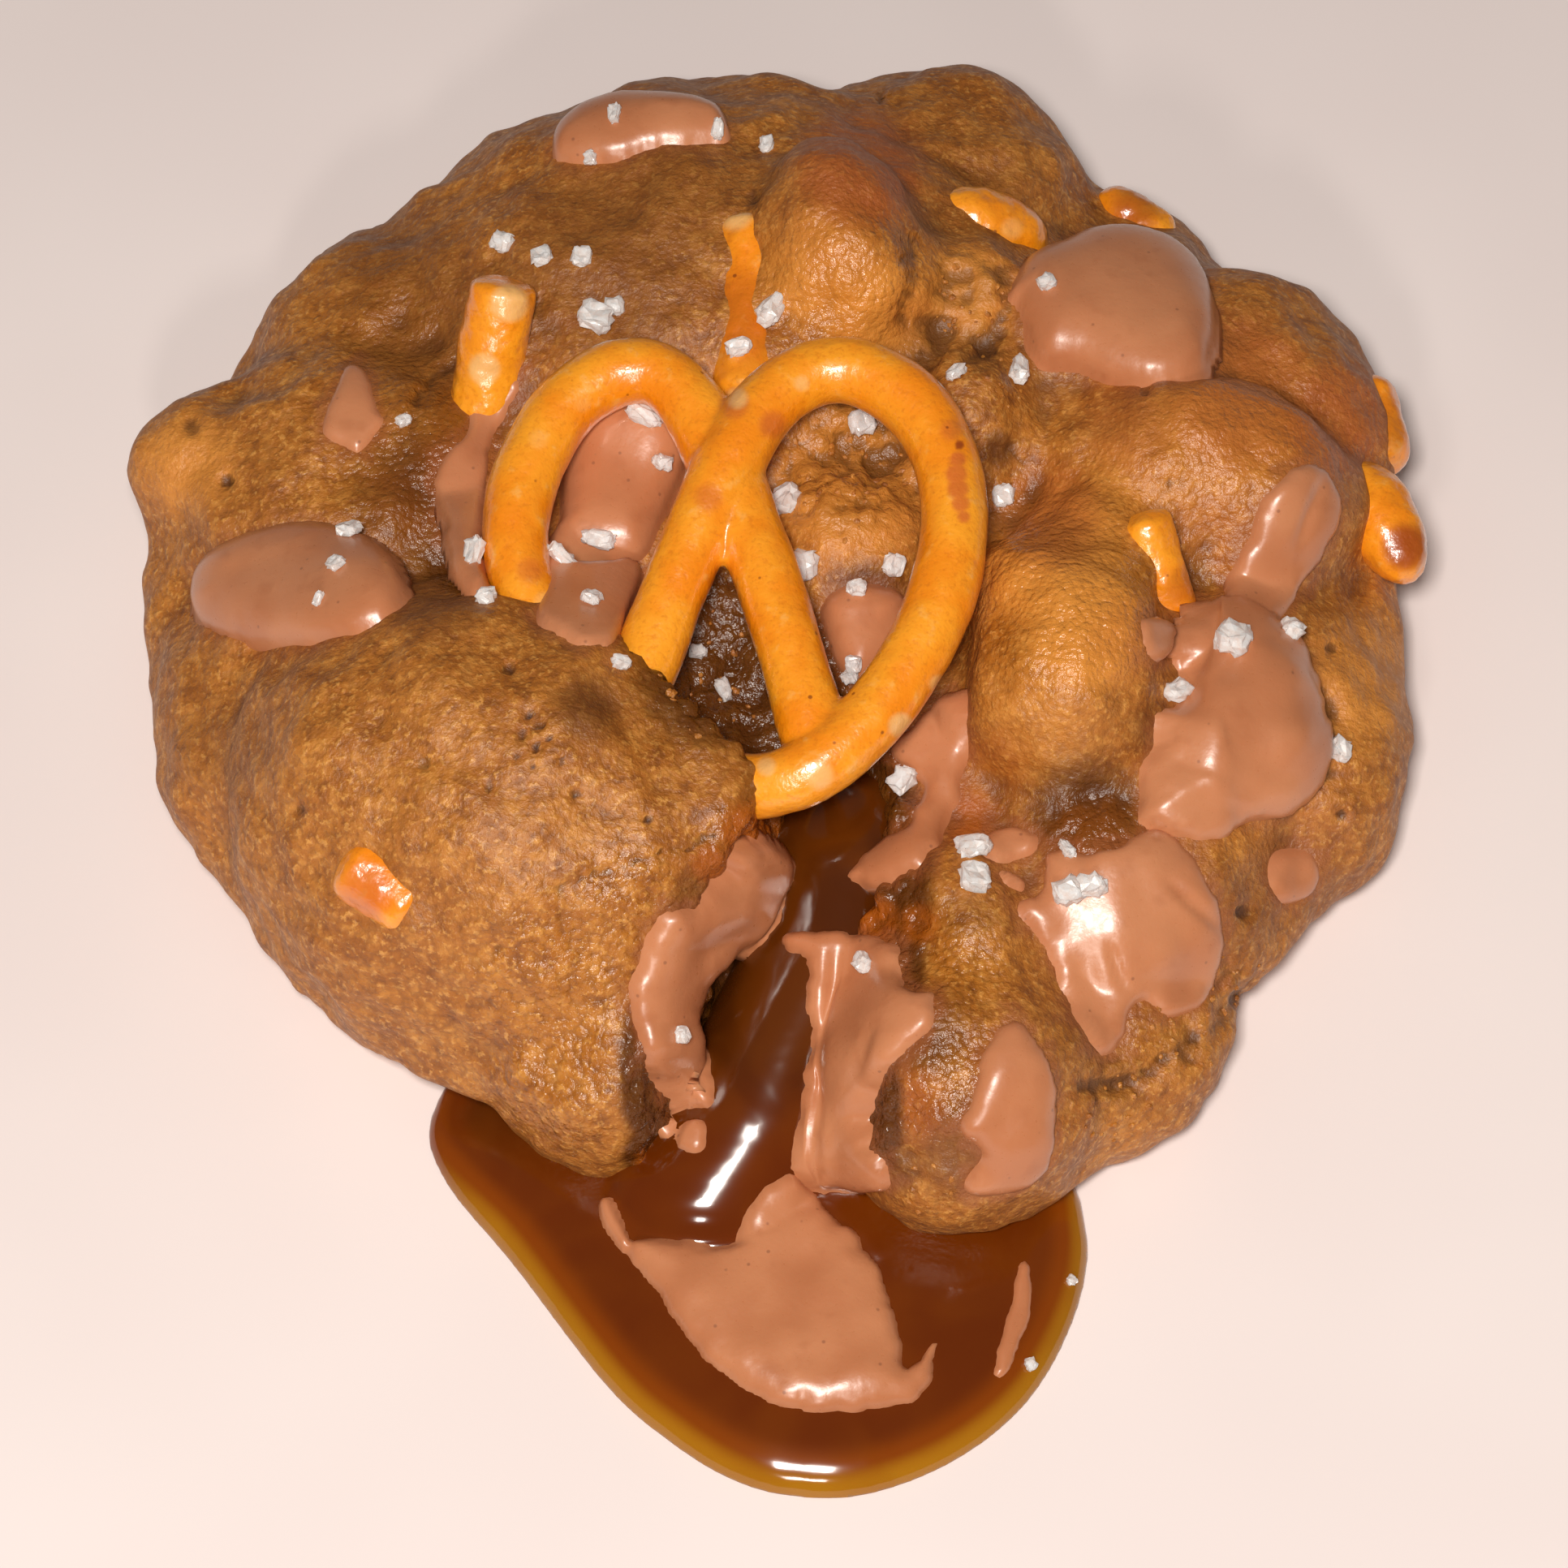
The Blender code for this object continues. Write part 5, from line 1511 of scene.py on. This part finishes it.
# %% [markdown]
# ## Loose crumbs
# A torn cookie sheds crumbs. They gather in the hollow below the pretzel, round the tear and in
# the creases. They are small knocked balls, scattered in a few round patches with a fixed seed.

# %% Scatter the crumbs: patches as seen, radius, how many
CRUMB_PATCHES = (
    (-4.8, 7.5, 4.5, 30), (4.6, 21, 4.6, 40), (12.6, 33, 2.8, 26), (14.5, 27.5, 2, 10),
    (27, -17.5, 3, 26), (22.5, -22, 2.6, 16), (9.6, -27.5, 2, 8), (31, -14, 2.4, 16),
)
CRUMB_SIZE = (0.12, 0.34)


def crumb_shape(draw):
    bm = ball(1)
    for vert in bm.verts:
        vert.co *= draw.uniform(0.75, 1.2)
    return bm


crumb_shapes = shape_box("crumb_shapes", *[crumb_shape(draw) for _ in range(4)])
crumb_spots = []
for u, v, radius, count in CRUMB_PATCHES:
    for _ in range(count):
        away, angle = radius * math.sqrt(draw.random()), draw.uniform(0, math.tau)
        spot = (u + away * math.cos(angle), v + away * math.sin(angle))
        point, normal = on_crust(rough_tree, *spot)
        scale = draw.uniform(*CRUMB_SIZE)
        if (on_crust(hosts, *spot)[0] - point).length < scale:
            turn = draw.uniform(0, math.tau)
            size = (scale, scale * draw.uniform(0.6, 1), scale * 0.7)
            crumb_spots.append((point, normal, turn, size))
crumbs = set_down("loose_crumbs", crumb_shapes, crumb_spots, 3, baked_crust)
print("crumbs:", len(crumb_spots), "with", len(crumbs.data.polygons), "faces")

# %% [markdown]
# ## Handing the pieces over
# Each piece is scaled to metres, gets its finish and rides on the one body of the model. The
# solids of the model that it takes the place of are hidden.


# %% Hand over
def hand_over(thing, finish, slot, *nodes):
    thing.data.transform(Matrix.Scale(MM, 4))
    thing.data.materials.clear()
    thing.data.materials.append(finish)
    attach(thing, "root")
    if nodes:
        thing.data.shade_smooth()
        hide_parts(*nodes)


hand_over(crust, baked_crust, "dough", "dough")
hand_over(caramel, amber_caramel, "caramel", "caramel")
hand_over(pretzel, pretzel_crust, "pretzel", "pretzel_twist")
for name, thing in bits.items():
    hand_over(thing, pretzel_crust, "pretzel", name)
for name, thing in {**chips, **films}.items():
    hand_over(thing, milk_chocolate, "chocolate", name)
hand_over(salt, frosted_salt, None)
hand_over(crumbs, baked_crust, "dough")
for thing in (crust, caramel, pretzel):
    print(thing.name, sum(len(face.vertices) - 2 for face in thing.data.polygons), "triangles")

# %% [markdown]
# ## Floor and light
# A pale floor and soft light from all round. A small lamp close to the eye, a little to its left,
# makes the small lights on the fat and the bright patches on caramel and chocolate, and it throws
# a narrow shadow. A weaker lamp stands lower and reaches into the tear.

# %% Pale floor
FLOOR_HALF, FLOOR_LEVEL = 2.0, -0.0002
floor_mesh = bpy.data.meshes.new("floor")
floor_corners = [
    (x * FLOOR_HALF, y * FLOOR_HALF, FLOOR_LEVEL) for x, y in ((-1, -1), (1, -1), (1, 1), (-1, 1))
]
floor_mesh.from_pydata(floor_corners, [], [(0, 1, 2, 3)])
floor = new_object("floor", floor_mesh)
floor_paint, tree, shader, where, _ = new_finish("matt_pale_paint")
cloud = add(tree, "ShaderNodeTexNoise", {"Vector": where, "Scale": every(40.0)})
colour = lay_colours(tree, "#EFE3E1", ((cloud, 0.3, 0.7, 1.0, "#F3E8E6"),))
set_shader(shader, Base_Color=colour, Roughness=0.8)
floor.data.materials.append(floor_paint)
print("floor at", FLOOR_LEVEL / MM, "mm")


# %% Studio light
def lamp(name, place, size, power, colour):
    data = bpy.data.lights.new(name, "AREA")
    data.energy = power
    data.size = size
    data.color = linear(colour)[:3]
    thing = bpy.data.objects.new(name, data)
    thing.location = place
    thing.rotation_euler = (-Vector(place)).to_track_quat("-Z", "Y").to_euler()
    bpy.context.scene.collection.objects.link(thing)


lamp("key", (-0.025, -0.25, 0.43), 0.07, 2.2, "#FFF8F0")
lamp("low_fill", (-0.04, -0.4, 0.3), 0.05, 0.4, "#FFF8F0")
world = bpy.data.worlds.new("studio")
world.use_nodes = True
world.node_tree.nodes["Background"].inputs["Color"].default_value = linear("#F6F0EE")
world.node_tree.nodes["Background"].inputs["Strength"].default_value = 0.085
bpy.context.scene.world = world
bpy.context.scene.view_settings.view_transform = "Standard"
